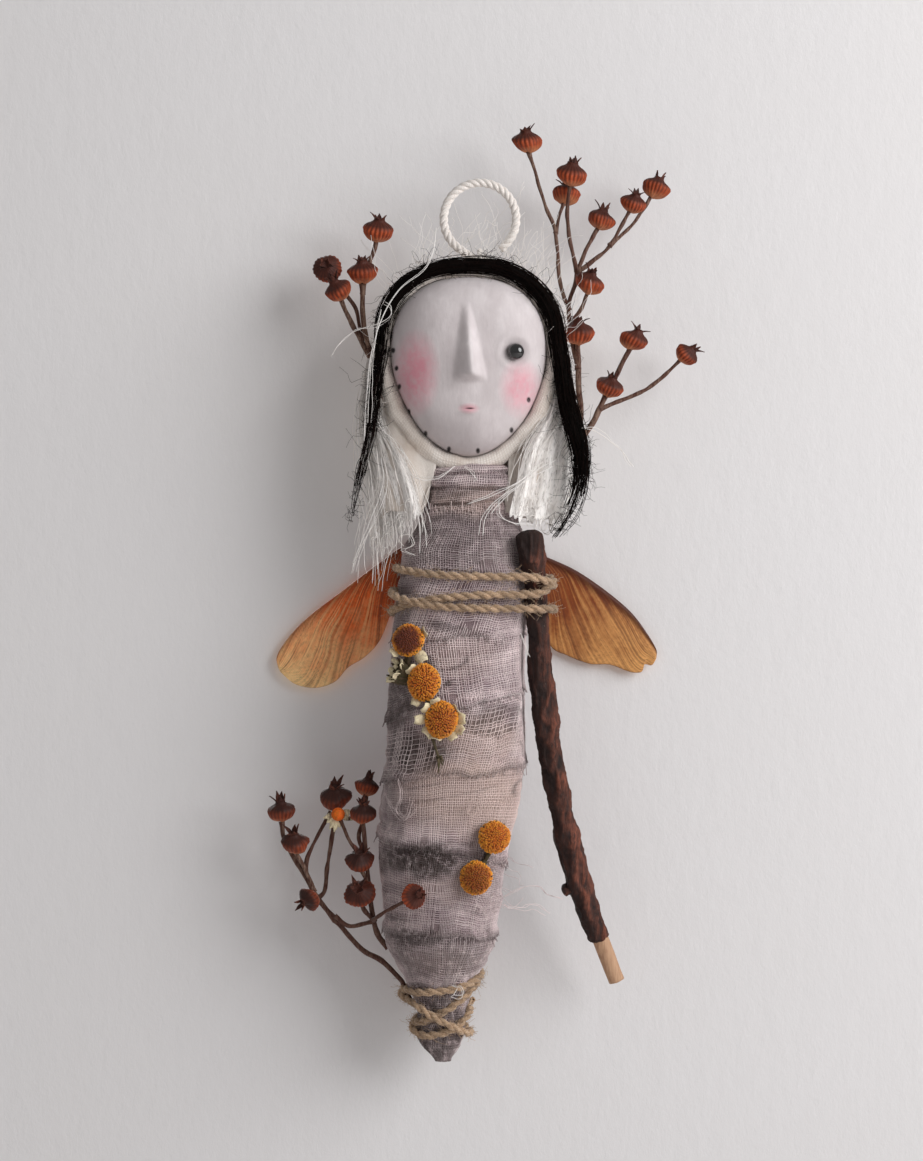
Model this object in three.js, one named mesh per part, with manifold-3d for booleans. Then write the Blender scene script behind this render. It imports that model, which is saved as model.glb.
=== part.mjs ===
// Wall-hung doll: a body of wound gauze strips on a padded stick, a painted clay face in a cotton
// hood, wool hair, two winged seeds, a twig staff, dried seed sprigs and yellow button flowers.
// Millimetres, +Z up, the face looks along -Y. The origin is the top inside of the hanging loop.
import * as THREE from 'three';
import { mergeVertices } from 'three/addons/utils/BufferGeometryUtils.js';
import Module from 'manifold-3d';

const wasm = await Module();
wasm.setup();

// Clearances
const SEAT = 0.35; // between pieces that lie on each other
const LOOSE = 0.5; // round pieces that turn or slide
const PADDING_ROOM = 1.0; // between the stuffing and the strips
const STAFF_ROOM = 0.65; // between the staff and what holds it

// Body: the outline of the wound strips at heights going down
const BODY_STATIONS = [
  // z, left x, right x, front y, back y
  [-58, -10.5, 7.0, -10, 8],
  [-66, -12.2, 8.0, -11, 8],
  [-73, -12.5, 8.2, -11, 8],
  [-76, -14.0, 9.0, -12, 8.5],
  [-80, -17.0, 10.0, -13, 9],
  [-87, -17.6, 10.2, -13.5, 9],
  [-95.5, -18.6, 10.2, -14, 9],
  [-113, -20.2, 10.4, -14.5, 11.5],
  [-126, -20.5, 9.9, -14.5, 13.5],
  [-135, -21.8, 8.8, -14.5, 15.5],
  [-148, -22.4, 5.7, -13.5, 15.5],
  [-157, -21.3, 4.4, -12.5, 15.5],
  [-167, -20.7, 3.3, -11, 12.5],
  [-171, -18.4, 1.0, -9, 10.5],
  [-175, -16.2, -1.4, -7, 8.5],
  [-182, -13.2, -3.2, -5, 6.5],
  [-186, -14.0, -3.6, -4.6, 6],
  [-189.5, -12.6, -4.6, -3, 4.5],
  [-192.7, -9.6, -6.6, -1, 2],
];
const BODY_SQUARENESS = 2.3; // 2 is an ellipse
const BODY_SIDES = 20;
const PADDING_SIDES = 12;
const WALL_PLANE = 14; // the back of the hips lies flat here
const WRAP_THICKNESS = 2.4;
const WRAP_SWELL = 0.3; // each strip stands proud at its middle
const WRAP_EDGE = 0.7; // and draws in at its edges
const WRAP_GAP = 0.35;
// Strips from the neck down: name, lower edge at the body's middle, rise of that edge to the right
const NECK_TOP = -59;
const WRAPS = [
  ['neck_wrap', -73, 0],
  ['shoulder_wrap', -84, -0.5],
  ['chest_wrap', -97.5, 1],
  ['upper_waist_wrap', -112, 3],
  ['lower_waist_wrap', -127, 2],
  ['belly_wrap', -144, -3],
  ['hip_wrap', -163, -1],
  ['shin_wrap', -174, 0],
];
const TAIL_TIP = -192.7;

// Stick and stuffing
const STICK_RADIUS = 2.5;
const STICK_TOP = new THREE.Vector3(-2.4, -3, -46);
const STICK_FOOT = new THREE.Vector3(-8.4, 0.5, -171);
const PADDING_TOP = -66;

// Head
const HEAD_CENTRE = new THREE.Vector3(-2.5, -5, -36);
const HEAD_HALF_WIDTH = 17;
const HEAD_CROWN = 15.5; // above the widest place
const HEAD_JAW = 23.8; // below it
const CROWN_SQUARENESS = 2.3;
const JAW_SQUARENESS = 1.85;
const FACE_DEPTH = 12;
const FACE_SQUARENESS = 2.4;
const SKULL_DEPTH = 10;
const SKULL_SQUARENESS = 3;
const HEAD_COLUMNS = 24;
const NOSE_TOP = [-3.1, -27.8]; // x, z on the face
const NOSE_TIP = [-1.4, -42.7];
const NOSE_HEIGHT = 4.2;
const NOSE_WIDTH = 5.8; // at the tip
const NOSE_TOP_WIDTH = 1.8;
const NOSE_RIDGE = 0.35; // width of the ridge as a share of the nose
const NOSE_ROOT = 2; // how deep the nose reaches into the face
const NOSE_START = 0.6; // how deep its upper end begins
const EYE = [7.6, -37.6];
const EYE_RADIUS = 1.9;
const EYE_SUNK = 1.1; // how deep the bead sits in its socket
const SOCKET_RADIUS = 3.4;
const SOCKET_DEPTH = 0.7;
const HOOD_THICKNESS = 2.4;
const HOOD_RIM = -6; // y of the hood's front edge

// Hair: one hank laid over the head, as angles round the face and two hanging tails
const HAIR_OVER_HEAD = [182, 160, 139, 117, 92, 68, 46, 24, 3]; // degrees, left to right over the top
const HAIR_OVER_RADII = [1.7, 1.8, 1.8, 1.8, 1.75, 1.8, 1.9, 2.0, 2.1];
// Tails from the hair's lowest places on the head: sideways, back, up, radius
const HAIR_LEFT_TAIL = [
  [-1.4, -0.4, -9.8, 1.4], [-2.7, 0, -19.4, 1.0], [-5.4, 1.2, -30, 0.7], [-6.7, 1.8, -37.4, 0.45],
];
const HAIR_RIGHT_TAIL = [
  [1.6, -0.4, -10.6, 2.2], [3.4, -0.8, -19.2, 2.4], [4.6, -0.8, -26.8, 2.4], [3.4, -0.8, -33.4, 1.9],
  [0.8, -0.8, -38.2, 1.2], [-2, -0.8, -42.1, 0.45],
];
const HAIR_SIDES = 8;

// Veils: gauze hanging at the sides, as inner and outer edges going down
const VEIL_THICKNESS = 1.0;
const VEIL_FOLD = 1.1; // depth of a fold either way
const VEIL_LEFT_FOLDS = 4;
const VEIL_LEFT_INNER = [
  [-23.1, -4, -38], [-21.4, -5, -50], [-18.2, -7, -57],
  [-15.2, -9.8, -64], [-13.5, -10.6, -70], [-12.6, -11.2, -73.5],
];
const VEIL_LEFT_OUTER = [
  [-25, -2, -38], [-27, -2, -50], [-28, -2.5, -57],
  [-28.3, -3, -66], [-28.5, -3.5, -76], [-28.6, -4, -85.6],
];
const VEIL_RIGHT_FOLDS = 3;
const VEIL_RIGHT_INNER = [
  [17.6, -3.5, -40], [15.4, -5, -50], [12.6, -6.8, -57],
  [10, -8.8, -64], [8, -10.6, -70], [6.6, -11.6, -73],
];
const VEIL_RIGHT_OUTER = [
  [20.2, -3, -40], [20.8, -3, -48], [21, -3.2, -56],
  [20.4, -3.5, -63], [19.5, -4, -70], [18.6, -4.4, -76],
];

// Hanging loop and the thread bar that ties it to the hood
const LOOP_RADIUS = 1.0; // the loop's own cord
const LOOP_INSIDE = 7; // inner radius of the loop's top
const LOOP_BEND = 3; // centreline radius of the loop's foot
const STITCH_RADIUS = 0.6;

// Twine
const TWINE_RADIUS = 1.0; // round the chest
const ANKLE_TWINE_RADIUS = 0.8; // round the foot
const TWINE_STEPS = 24; // steps in one turn
const TWINE_SIDES = 6;
// Chest turns as height at the right and left edges, from the back round to the back again
const CHEST_TWINE_START = -84.8;
const CHEST_TWINE_TURNS = [
  [-87.1, -86.4],
  [-90.0, -91.7],
  [-93.4, -94.6],
];
const CHEST_TWINE_END = -95.6;
// Foot turns: down in an inner layer, up again in an outer one
const ANKLE_TOP = -173.4;
const ANKLE_PITCH = 3.9;
const ANKLE_TURNS_DOWN = 3;
const ANKLE_TURNS_OUT = 0.5;
const ANKLE_TURNS_UP = 2;
const ANKLE_SAG = 2; // the turns hang lower in front
const ANKLE_LAYER_GAP = 0.8;

// Staff
const STAFF_LASH_HEIGHT = -91; // where the chest twine holds it
const STAFF_LASH_ANGLE = -25; // round the body from its right side, towards the front
const STAFF_RADIUS = 2.3; // at the lashing
const BARK_THICKNESS = 0.7;
const STAFF_SIDES = 8;
// Route from the lashing: sideways, back, up, and radius as a share of the lashing's
const STAFF_ROUTE = [
  [-1.9, -2.6, 15.2, 1.25],
  [-1.2, -2.1, 10.8, 1.2],
  [-0.4, -1.1, 5.4, 1.02],
  [0, 0, 0, 1],
  [0.6, 0.6, -8.6, 1.02],
  [1.4, 2.2, -19.6, 1.16],
  [2.9, 4.4, -31.7, 1.12],
  [5.3, 6.4, -43.9, 1.08],
  [7.8, 7.6, -55, 1.16],
  [9.8, 8.6, -62.8, 1.14],
  [12, 9.4, -69.5, 1.06],
  [14.7, 10.4, -75.6, 0.95],
];
const PEELED_END = [18.3, 11.4, -85];
const PEELED_RADIUS = 1.65;
const STUB_AT = 9; // which route point carries the broken side shoot
const STUB_TIP = [-3.9, -0.6, -1.6];
const STUB_RADIUS = 1.3;

// Wings: outlines of the part that shows, as x and z
const WING_THICKNESS = 0.8;
const WING_RIB = 0.7; // radius of the thick leading edge
const WING_PIN_RADIUS = 0.6;
const WING_KNOT_RADIUS = 1.4;
const WING_KNOT_THICKNESS = 0.8;
const WING_PIN_DEPTH = 1.5; // how far the thread goes into the strips
const LEFT_WING_PIN = [-11.4, -80.6];
const LEFT_WING = [
  [-8.8, -81.4], [-9.8, -78.4], [-17.2, -79.1], [-22.4, -82.6], [-31.4, -89.4], [-38.2, -94.6],
  [-42.7, -99.1], [-45.6, -103.6], [-44.9, -107.4], [-41.6, -110.1], [-37, -111], [-32.6, -109.6],
  [-29.6, -106.4], [-25.8, -104], [-22.4, -100.2], [-19.7, -93.5], [-17.2, -87], [-12.4, -83.6],
];
const LEFT_RIB = [2, 7]; // outline points that the thick edge follows
const RIGHT_WING_PIN = [4.6, -80.6];
const RIGHT_WING = [
  [2, -81.6], [3, -78.4], [9.4, -79.1], [14.7, -81.3], [21.5, -84.4], [28.2, -88.9],
  [33.9, -93.7], [37.2, -97.9], [39.7, -102], [39.9, -104.2], [38.8, -105.9], [37.1, -105.7],
  [36.5, -107.5], [33.9, -107.4], [29.4, -105.8], [24.9, -105.6], [19.9, -103.8], [15.9, -101.5],
  [12.5, -94.5], [9.6, -86.5], [5.6, -83.6],
];
const RIGHT_RIB = [2, 8];

// Sprigs: stems as routes with a radius at each end, and pods as place, direction and size
const STEM_SIDES = 4;
const POD_RADIUS = 2.9;
const POD_SIDES = 8;
// Half profile of a seed pod: radius and height in pod radii, from its stem to its crown
const POD_PROFILE = [
  [0, -0.82], [0.86, -0.42], [1, 0.02], [0.36, 0.58], [0.42, 0.98], [0, 0.9],
];

// The right sprigs stand in the side of the neck strip: height, depth and radius of each foot
const RIGHT_TALL_FOOT = [-70, 3, 0.9];
const RIGHT_TALL_STEMS = [
  [[[15, 3, -64.5], [21.9, 2.5, -53], [21.9, 2, -43.6], [21.6, 1, -33]], 0.9, 0.75],
  [[[21.7, 1.6, -40], [20, 2, -31], [19.6, 2, -26], [21, 1.5, -21.5], [21.5, 1, -17.7]], 0.7, 0.6],
  [[[19.7, 2, -27], [17.7, 1, -20.3], [16.6, 0.6, -9.5], [14.4, 0.4, -3.8], [10.8, 0, 8]], 0.6, 0.5],
  [[[16.7, 0.6, -10], [17.6, 1.5, -6], [18.9, 3.5, -2.5]], 0.5, 0.5],
  [[[21.4, 1.2, -18.5], [19.5, 0, -9.7], [19.4, -0.8, -3], [20, -1, 1]], 0.6, 0.55],
  [[[21.4, 1.2, -18.5], [24, 2, -12.5], [26.4, 3, -8]], 0.6, 0.55],
  [[[21.6, 1.6, -18.5], [25, 2, -16], [28.8, 2, -12.5], [33.4, 2, -4.5]], 0.6, 0.5],
  [[[28.6, 2, -12.7], [34.5, 3, -7], [38.4, 4, -0.6]], 0.55, 0.5],
  [[[20.6, 1.8, -29.5], [22.8, 0.4, -26], [24, -1, -22.5]], 0.6, 0.55],
];
const RIGHT_TALL_PODS = [
  [[10.4, 0, 10.2], [-0.15, -0.2, 1], 1.02],
  [[20.2, -1, 2.8], [0.12, -0.25, 1], 1.05],
  [[19.1, 3.9, -0.9], [0.05, 0.2, 1], 1],
  [[26.9, 3, -6.6], [0.25, -0.1, 1], 0.95],
  [[34.1, 2, -3.2], [0.3, -0.3, 1], 0.9],
  [[39.1, 4, 0.6], [0.35, 0, 1], 1],
  [[24.1, -1.2, -21], [0.25, -0.3, 1], 1.02],
  [[21.6, 0.6, -31.9], [0.05, -0.35, 1], 1.1],
];
const RIGHT_LOW_FOOT = [-66.5, -1, 0.9];
const RIGHT_LOW_STEMS = [
  [[[16.8, 0, -60.1], [22.8, 0.4, -55], [26.6, 1, -48.6], [28.2, 1, -45]], 0.9, 0.8],
  [[[28.2, 1.2, -45], [30.1, 2, -41.4], [33.4, 1, -35]], 0.7, 0.6],
  [[[26.4, 1, -49], [36.6, 3, -44.5], [43.4, 4, -38.9], [45, 4, -37.4]], 0.65, 0.5],
];
const RIGHT_LOW_PODS = [
  [[28.6, 0.6, -43.8], [0.35, -0.4, 0.9], 0.95],
  [[34, 1, -33.4], [0.5, -0.2, 0.9], 0.98],
  [[46, 4, -36.5], [0.75, -0.3, 0.6], 0.85],
];
// The left sprig stands beside the hood: depth, height and radius of its foot
const LEFT_HIGH_FOOT = [1.4, -48, 0.9];
const LEFT_HIGH_STEMS = [
  [[[-23.6, 1.4, -38], [-25.6, 1.2, -31.4], [-26.1, 1, -21]], 0.85, 0.7],
  [[[-26, 1.6, -23.5], [-24.6, 2, -17], [-23.4, 2, -13.6], [-22.8, 1.4, -10.5]], 0.6, 0.55],
  [[[-23.4, 1.6, -39], [-27.2, 2, -32.2], [-30, 1, -26.5], [-31, -0.4, -23.5]], 0.75, 0.65],
  [[[-26.2, 2, -33.8], [-27.7, 2.4, -26.2], [-31.5, 2.8, -21.5], [-33.2, 3, -18.8]], 0.6, 0.5],
];
const LEFT_HIGH_PODS = [
  [[-22.5, 1, -9.3], [0.15, -0.3, 1], 1.05],
  [[-25.9, 0.6, -18.5], [-0.05, -0.25, 1], 1.05],
  [[-33.7, 3, -17.7], [-0.2, -0.95, 0.4], 0.98],
  [[-31.3, -1, -22.6], [-0.45, -0.4, 0.8], 1],
];
// The low sprigs: one held under the foot's twine, one tucked behind the edge of the shin strip
const FOOT_STEM_RADIUS = 0.7;
const FOOT_STEM_HEIGHTS = [-179.5, -178, -176.5, -175];
const LOW_OUTER_STEMS = [
  [[[-21.5, 2, -171.2], [-26.5, 1.4, -168], [-32, 0.6, -161.7]], FOOT_STEM_RADIUS, 0.75],
  [[[-31.9, 0.6, -161.8], [-35.7, 0, -156.9], [-39.7, 0, -150.3], [-43, 0, -144.1], [-43.8, 0, -140]],
    0.75, 0.6],
  [[[-36.5, 0, -155.5], [-38.8, -1, -150], [-40.6, -2, -146.5]], 0.65, 0.55],
  [[[-35.7, 0.2, -157], [-34.3, 1.2, -155.5], [-33.9, 2, -150.9], [-32.5, 2, -142.5], [-32.2, 2, -137]],
    0.6, 0.6],
  [[[-38.4, 0.3, -152.4], [-38.2, 1, -148], [-35.5, 2, -142.6], [-33, 2, -138]], 0.6, 0.5],
  [[[-35.6, 0, -157.2], [-36.6, -1.2, -157.2], [-37, -1.6, -157]], 0.5, 0.5],
];
const LOW_OUTER_PODS = [
  [[-43.9, 0, -137.6], [-0.05, -0.25, 1], 1.12],
  [[-40.8, -2, -144.3], [-0.1, -0.4, 0.9], 1.12],
  [[-32.2, 2, -134.6], [0, -0.5, 0.85], 1.3],
  [[-37.6, -2.2, -156.9], [-0.7, -0.6, -0.3], 0.95],
];
const LOW_INNER_FOOT = [-165.6, 0.8]; // height and radius
const LOW_INNER_STEMS = [
  [[[-23.5, -1.6, -161], [-24.6, -3.4, -152.5], [-25.2, -4, -144.8], [-25.7, -4, -139]], 0.8, 0.6],
  [[[-24.5, -3, -154], [-25.6, -5, -151], [-26.2, -5.6, -149.4]], 0.6, 0.55],
  [[[-23.3, -1.5, -161.6], [-25.2, -3.6, -159.4], [-26.2, -5.4, -157]], 0.6, 0.6],
  [[[-25, -3.8, -147.5], [-26.6, -3, -143], [-25.4, 0, -138], [-25, 0.5, -133]], 0.5, 0.5],
  [[[-24.9, -3.6, -149.5], [-28.1, -3, -144.9], [-30.2, -2, -140.6], [-31, -1, -138.8]], 0.55, 0.45],
  [[[-23.3, -1.4, -161.8], [-28.6, -2, -162.7], [-32, -1.8, -160.6]], 0.65, 0.5],
];
const LOW_INNER_PODS = [
  [[-25.7, -4, -137.7], [0.1, -0.4, 0.9], 1.1],
  [[-26.2, -6, -147.9], [0, -0.6, 0.8], 1.12],
  [[-26.4, -6, -155.2], [-0.15, -0.8, 0.5], 1.25],
  [[-25, 0.4, -132.2], [0.25, 0, 1], 1],
];
// One of its pods lies on the body's front: x and z, the way it looks and its stem
const FRONT_POD = [-14.3, -154.8];
const FRONT_POD_LOOKS = [0.5, -0.85, 0.3];
const FRONT_POD_STEM = [[-23.3, -1.8, -161.4], [-23, -8, -160.4], [-19, -13, -157.4]];
const FRONT_POD_STEM_RADII = [0.6, 0.5];

// Yellow button flowers
const BUTTON_RADIUS = 3.4;
const BUTTON_HEIGHT = 3.0;
const BUTTON_SIDES = 10;
const CUP_DEPTH = 1.8;
const CUP_WALL = 0.5;
const CUP_FLOOR = 1;
const TANSY_STEM_RADIUS = 0.8;
const TANSY_STALK_RADIUS = 0.6; // where a stem runs into a cup
const TANSY_ROOM = 0.6; // between the flowers and the strips
// Heads as x, z and the way each looks; stems as x and z on the body's front
const TANSY_UPPER_HEADS = [
  [-15.2, -99.8, [-0.2, -1, 0.15]],
  [-11.9, -108.6, [-0.12, -1, 0]],
  [-8.5, -116.4, [0.1, -1, -0.1]],
];
const TANSY_UPPER_STEM = [[-16.6, -102.5], [-14.5, -106], [-11, -113], [-10.4, -120], [-8.7, -126.5]];
const TANSY_LOWER_HEADS = [
  [2.6, -142.2, [0.25, -1, 0.1]],
  [-0.9, -150.8, [0, -1, 0]],
];
const TANSY_LOWER_STEM = [[2.2, -144.9], [1.6, -146.2], [1, -147.4]];

// Finishes
const finish = (color, roughness, metalness = 0) =>
  new THREE.MeshStandardMaterial({ color, roughness, metalness });
const MAUVE_GAUZE = finish(0x9f9198, 0.95);
const BEIGE_GAUZE = finish(0xc7b3ab, 0.95);
const WHITE_GAUZE = finish(0xdedad4, 0.95);
const CREAM_COTTON = finish(0xe4dccf, 0.95);
const BLACK_WOOL = finish(0x141312, 0.9);
const STUFFING = finish(0xe8e4da, 1);
const STICK_WOOD = finish(0xc9a67a, 0.8);
const CLAY = finish(0xd8d4d4, 0.75);
const BLACK_BEAD = finish(0x0a0a0a, 0.08);
const JUTE = finish(0xb49873, 0.95);
const THREAD = finish(0xe9e5dc, 0.9);
const SEED_WING = finish(0xb4733a, 0.6);
const BARK = finish(0x4d2b23, 0.85);
const PEELED_WOOD = finish(0xd9b58e, 0.7);
const DRY_STEM = finish(0x6d3322, 0.8);
const YELLOW_FLORETS = finish(0xc8892c, 0.9);
const DRY_CALYX = finish(0x5a5238, 0.9);

const doll = new THREE.Group();

function addPiece(name, geometry, material) {
  const mesh = new THREE.Mesh(geometry, material);
  mesh.name = name;
  doll.add(mesh);
}

const lerp = THREE.MathUtils.lerp;
const vector = (point) => new THREE.Vector3(...point);

// A closed body from points and triangles, with its faces turned outwards
function closedBody(points, triangles) {
  let volume = 0;
  for (let i = 0; i < triangles.length; i += 3) {
    const [a, b, c] = [points[triangles[i]], points[triangles[i + 1]], points[triangles[i + 2]]];
    volume += a.dot(b.clone().cross(c));
  }
  const geometry = new THREE.BufferGeometry().setFromPoints(points);
  geometry.setIndex(volume > 0 ? triangles : triangles.reverse());
  geometry.computeVertexNormals();
  return geometry;
}

// A skin over rings of points; the ends get a fan, or the last ring joins the first
function loft(rings, ringsClose = false) {
  const sides = rings[0].length;
  const points = rings.flat();
  const triangles = [];
  const bands = ringsClose ? rings.length : rings.length - 1;
  for (let band = 0; band < bands; band += 1) {
    const here = band * sides;
    const next = ((band + 1) % rings.length) * sides;
    for (let i = 0; i < sides; i += 1) {
      const j = (i + 1) % sides;
      triangles.push(here + i, here + j, next + i, here + j, next + j, next + i);
    }
  }
  if (!ringsClose) {
    for (const [ring, first] of [[0, true], [rings.length - 1, false]]) {
      const middle = new THREE.Vector3();
      rings[ring].forEach((point) => middle.addScaledVector(point, 1 / sides));
      points.push(middle);
      for (let i = 0; i < sides; i += 1) {
        const [a, b] = [ring * sides + i, ring * sides + ((i + 1) % sides)];
        triangles.push(...(first ? [b, a, points.length - 1] : [a, b, points.length - 1]));
      }
    }
  }
  return closedBody(points, triangles);
}

// A round tube along points, with a radius at each; a closed route gives a ring
function tube(route, radii, sides, routeCloses = false) {
  const count = route.length;
  const radiusAt = (i) => (Array.isArray(radii) ? radii[i] : radii);
  const tangents = route.map((point, i) => {
    const before = routeCloses ? route[(i + count - 1) % count] : route[Math.max(i - 1, 0)];
    const after = routeCloses ? route[(i + 1) % count] : route[Math.min(i + 1, count - 1)];
    return after.clone().sub(before).normalize();
  });
  let side = new THREE.Vector3(0, 1, 0);
  if (Math.abs(tangents[0].y) > 0.9) side = new THREE.Vector3(1, 0, 0);
  const rings = route.map((point, i) => {
    side = side.clone().addScaledVector(tangents[i], -side.dot(tangents[i])).normalize();
    const up = tangents[i].clone().cross(side);
    return Array.from({ length: sides }, (_, k) => {
      const angle = (2 * Math.PI * k) / sides;
      return point.clone()
        .addScaledVector(side, radiusAt(i) * Math.cos(angle))
        .addScaledVector(up, radiusAt(i) * Math.sin(angle));
    });
  });
  return loft(rings, routeCloses);
}

// A sheet with a thickness, from two grids of points that face each other
function slab(front, back) {
  const [rows, columns] = [front.length, front[0].length];
  const points = [...front.flat(), ...back.flat()];
  const behind = rows * columns;
  const triangles = [];
  const quad = (a, b, c, d) => triangles.push(a, b, c, a, c, d);
  for (let r = 0; r < rows - 1; r += 1) {
    for (let c = 0; c < columns - 1; c += 1) {
      const first = r * columns + c;
      const corners = [first, first + 1, first + columns + 1, first + columns];
      quad(...corners);
      quad(...corners.map((corner) => corner + behind).reverse());
    }
  }
  const border = [
    ...Array.from({ length: columns - 1 }, (_, c) => c),
    ...Array.from({ length: rows - 1 }, (_, r) => r * columns + columns - 1),
    ...Array.from({ length: columns - 1 }, (_, c) => rows * columns - 1 - c),
    ...Array.from({ length: rows - 1 }, (_, r) => (rows - 1 - r) * columns),
  ];
  border.forEach((a, i) => {
    const b = border[(i + 1) % border.length];
    quad(b, a, a + behind, b + behind);
  });
  return closedBody(points, triangles);
}

// Joining and cutting
function solid(geometry) {
  const bare = geometry.clone();
  bare.deleteAttribute('normal');
  bare.deleteAttribute('uv');
  const merged = mergeVertices(bare, 1e-4);
  return new wasm.Manifold(new wasm.Mesh({
    numProp: 3,
    vertProperties: new Float32Array(merged.attributes.position.array),
    triVerts: new Uint32Array(merged.index.array),
  }));
}

function body(manifold) {
  const mesh = manifold.getMesh();
  const geometry = new THREE.BufferGeometry();
  geometry.setAttribute('position', new THREE.BufferAttribute(mesh.vertProperties, 3));
  geometry.setIndex(new THREE.BufferAttribute(mesh.triVerts, 1));
  geometry.computeVertexNormals();
  return geometry;
}

const joined = (geometries) => body(geometries.map(solid).reduce((whole, next) => whole.add(next)));
const cut = (geometry, ...tools) =>
  body(tools.map(solid).reduce((whole, tool) => whole.subtract(tool), solid(geometry)));

// The body's cross-section at a height
function section(z) {
  let row = 0;
  while (row < BODY_STATIONS.length - 2 && z < BODY_STATIONS[row + 1][0]) row += 1;
  const [above, below] = [BODY_STATIONS[row], BODY_STATIONS[row + 1]];
  const share = THREE.MathUtils.clamp((above[0] - z) / (above[0] - below[0]), 0, 1);
  const [left, right, front, back] = [1, 2, 3, 4].map((i) => lerp(above[i], below[i], share));
  const [halfWidth, halfDepth] = [(right - left) / 2, (back - front) / 2];
  return { right, x: left + halfWidth, y: front + halfDepth, halfWidth, halfDepth };
}

// The place on the cross-section whose outward direction is the angle, moved out by the lift
function around(z, angle, lift) {
  const { x, y, halfWidth, halfDepth } = section(z);
  const [c, s] = [Math.cos(angle), Math.sin(angle)];
  const power = BODY_SQUARENESS / (BODY_SQUARENESS - 1);
  const reach = ((halfWidth * Math.abs(c)) ** power + (halfDepth * Math.abs(s)) ** power) ** (1 / power);
  const along = ((halfWidth * Math.abs(c)) / reach) ** (power - 1);
  const across = ((halfDepth * Math.abs(s)) / reach) ** (power - 1);
  return new THREE.Vector3(
    x + Math.sign(c) * halfWidth * along + lift * c,
    y + Math.sign(s) * halfDepth * across + lift * s,
    z,
  );
}

// Half the body's depth at a place in the front view
function halfDepthAt(x, z) {
  const { x: middle, halfWidth, halfDepth } = section(z);
  const share = Math.min(Math.abs((x - middle) / halfWidth), 0.98) ** BODY_SQUARENESS;
  return halfDepth * (1 - share) ** (1 / BODY_SQUARENESS);
}

// The front of the body at a place in the front view, moved out by the lift
const onFront = (x, z, lift) => new THREE.Vector3(x, section(z).y - halfDepthAt(x, z) - lift, z);

const ringAngles = (sides) => Array.from({ length: sides }, (_, i) => (2 * Math.PI * i) / sides);

function bodyRing(height, lift, sides = BODY_SIDES) {
  return ringAngles(sides).map((angle) => {
    const point = around(height(angle), angle, lift);
    point.y = Math.min(point.y, WALL_PLANE + Math.min(lift, 0));
    return point;
  });
}

// Strips, each a ring between two edges, with a swelling outside and a plain bore
const edgeHeight = (z, rise) => (angle) => z + rise * Math.cos(angle);
const STRIP_ROWS = [
  [0, -WRAP_EDGE], [0.14, 0], [0.5, WRAP_SWELL], [0.86, 0], [1, -WRAP_EDGE],
];
function strip(upper, lower, thickness) {
  const halfGap = WRAP_GAP / 2;
  const between = (share) => (angle) => lerp(upper(angle) - halfGap, lower(angle) + halfGap, share);
  const outside = STRIP_ROWS.map(([share, lift]) => bodyRing(between(share), lift));
  const inside = [1, 0.5, 0].map((share) => bodyRing(between(share), -thickness));
  return loft([...outside, ...inside], true);
}

// The head's front outline: distance from its centre in a direction, grown by an allowance
function headReach(angle, grow) {
  const [c, s] = [Math.cos(angle), Math.sin(angle)];
  const height = (s > 0 ? HEAD_CROWN : HEAD_JAW) + grow;
  const power = s > 0 ? CROWN_SQUARENESS : JAW_SQUARENESS;
  const share = (Math.abs(c) / (HEAD_HALF_WIDTH + grow)) ** power + (Math.abs(s) / height) ** power;
  return share ** (-1 / power);
}

// How much of the front outline is left at a depth in front of or behind the widest place
function headShare(y, grow) {
  const ahead = y < HEAD_CENTRE.y;
  const depth = (ahead ? FACE_DEPTH : SKULL_DEPTH) + grow;
  const power = ahead ? FACE_SQUARENESS : SKULL_SQUARENESS;
  return Math.max(1 - Math.abs((y - HEAD_CENTRE.y) / depth) ** power, 0) ** (1 / power);
}

const onHeadLine = (angle, reach, y) => new THREE.Vector3(
  HEAD_CENTRE.x + reach * Math.cos(angle), y, HEAD_CENTRE.z + reach * Math.sin(angle),
);

function headRing(y, grow) {
  const share = headShare(y, grow);
  return ringAngles(HEAD_COLUMNS).map((angle) => {
    const reach = headReach(angle, grow) * share;
    return onHeadLine(angle, reach, y);
  });
}

// The head's shape from one depth to another, grown by an allowance
function headShape(front, back, grow) {
  const [ahead, behind] = [FACE_DEPTH + grow, SKULL_DEPTH + grow];
  const depths = [0.99, 0.95, 0.82, 0.6, 0.3].map((share) => HEAD_CENTRE.y - share * ahead);
  depths.push(...[0, 0.45, 0.75, 0.93, 0.99].map((share) => HEAD_CENTRE.y + share * behind));
  const inside = depths.filter((y) => y > front + 0.4 && y < back - 0.4);
  const ends = [front, back].map((y) => THREE.MathUtils.clamp(y, depths[0], depths.at(-1)));
  return loft([ends[0], ...inside, ends[1]].map((y) => headRing(y, grow)));
}

const EVERYWHERE = 1000;
const wholeHead = (grow) => headShape(-EVERYWHERE, EVERYWHERE, grow);

// The face's surface under a place in the front view
function faceDepth(x, z) {
  const [dx, dz] = [x - HEAD_CENTRE.x, z - HEAD_CENTRE.z];
  const share = Math.hypot(dx, dz) / headReach(Math.atan2(dz, dx), 0);
  return HEAD_CENTRE.y - FACE_DEPTH * Math.max(1 - share ** FACE_SQUARENESS, 0) ** (1 / FACE_SQUARENESS);
}

// Core stick
const stickLine = STICK_TOP.clone().sub(STICK_FOOT).normalize();
const stick = (clearance) => tube([
  STICK_FOOT.clone().addScaledVector(stickLine, -clearance),
  STICK_TOP.clone().addScaledVector(stickLine, clearance),
], STICK_RADIUS + clearance, 12);
addPiece('core_stick', stick(0), STICK_WOOD);

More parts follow.
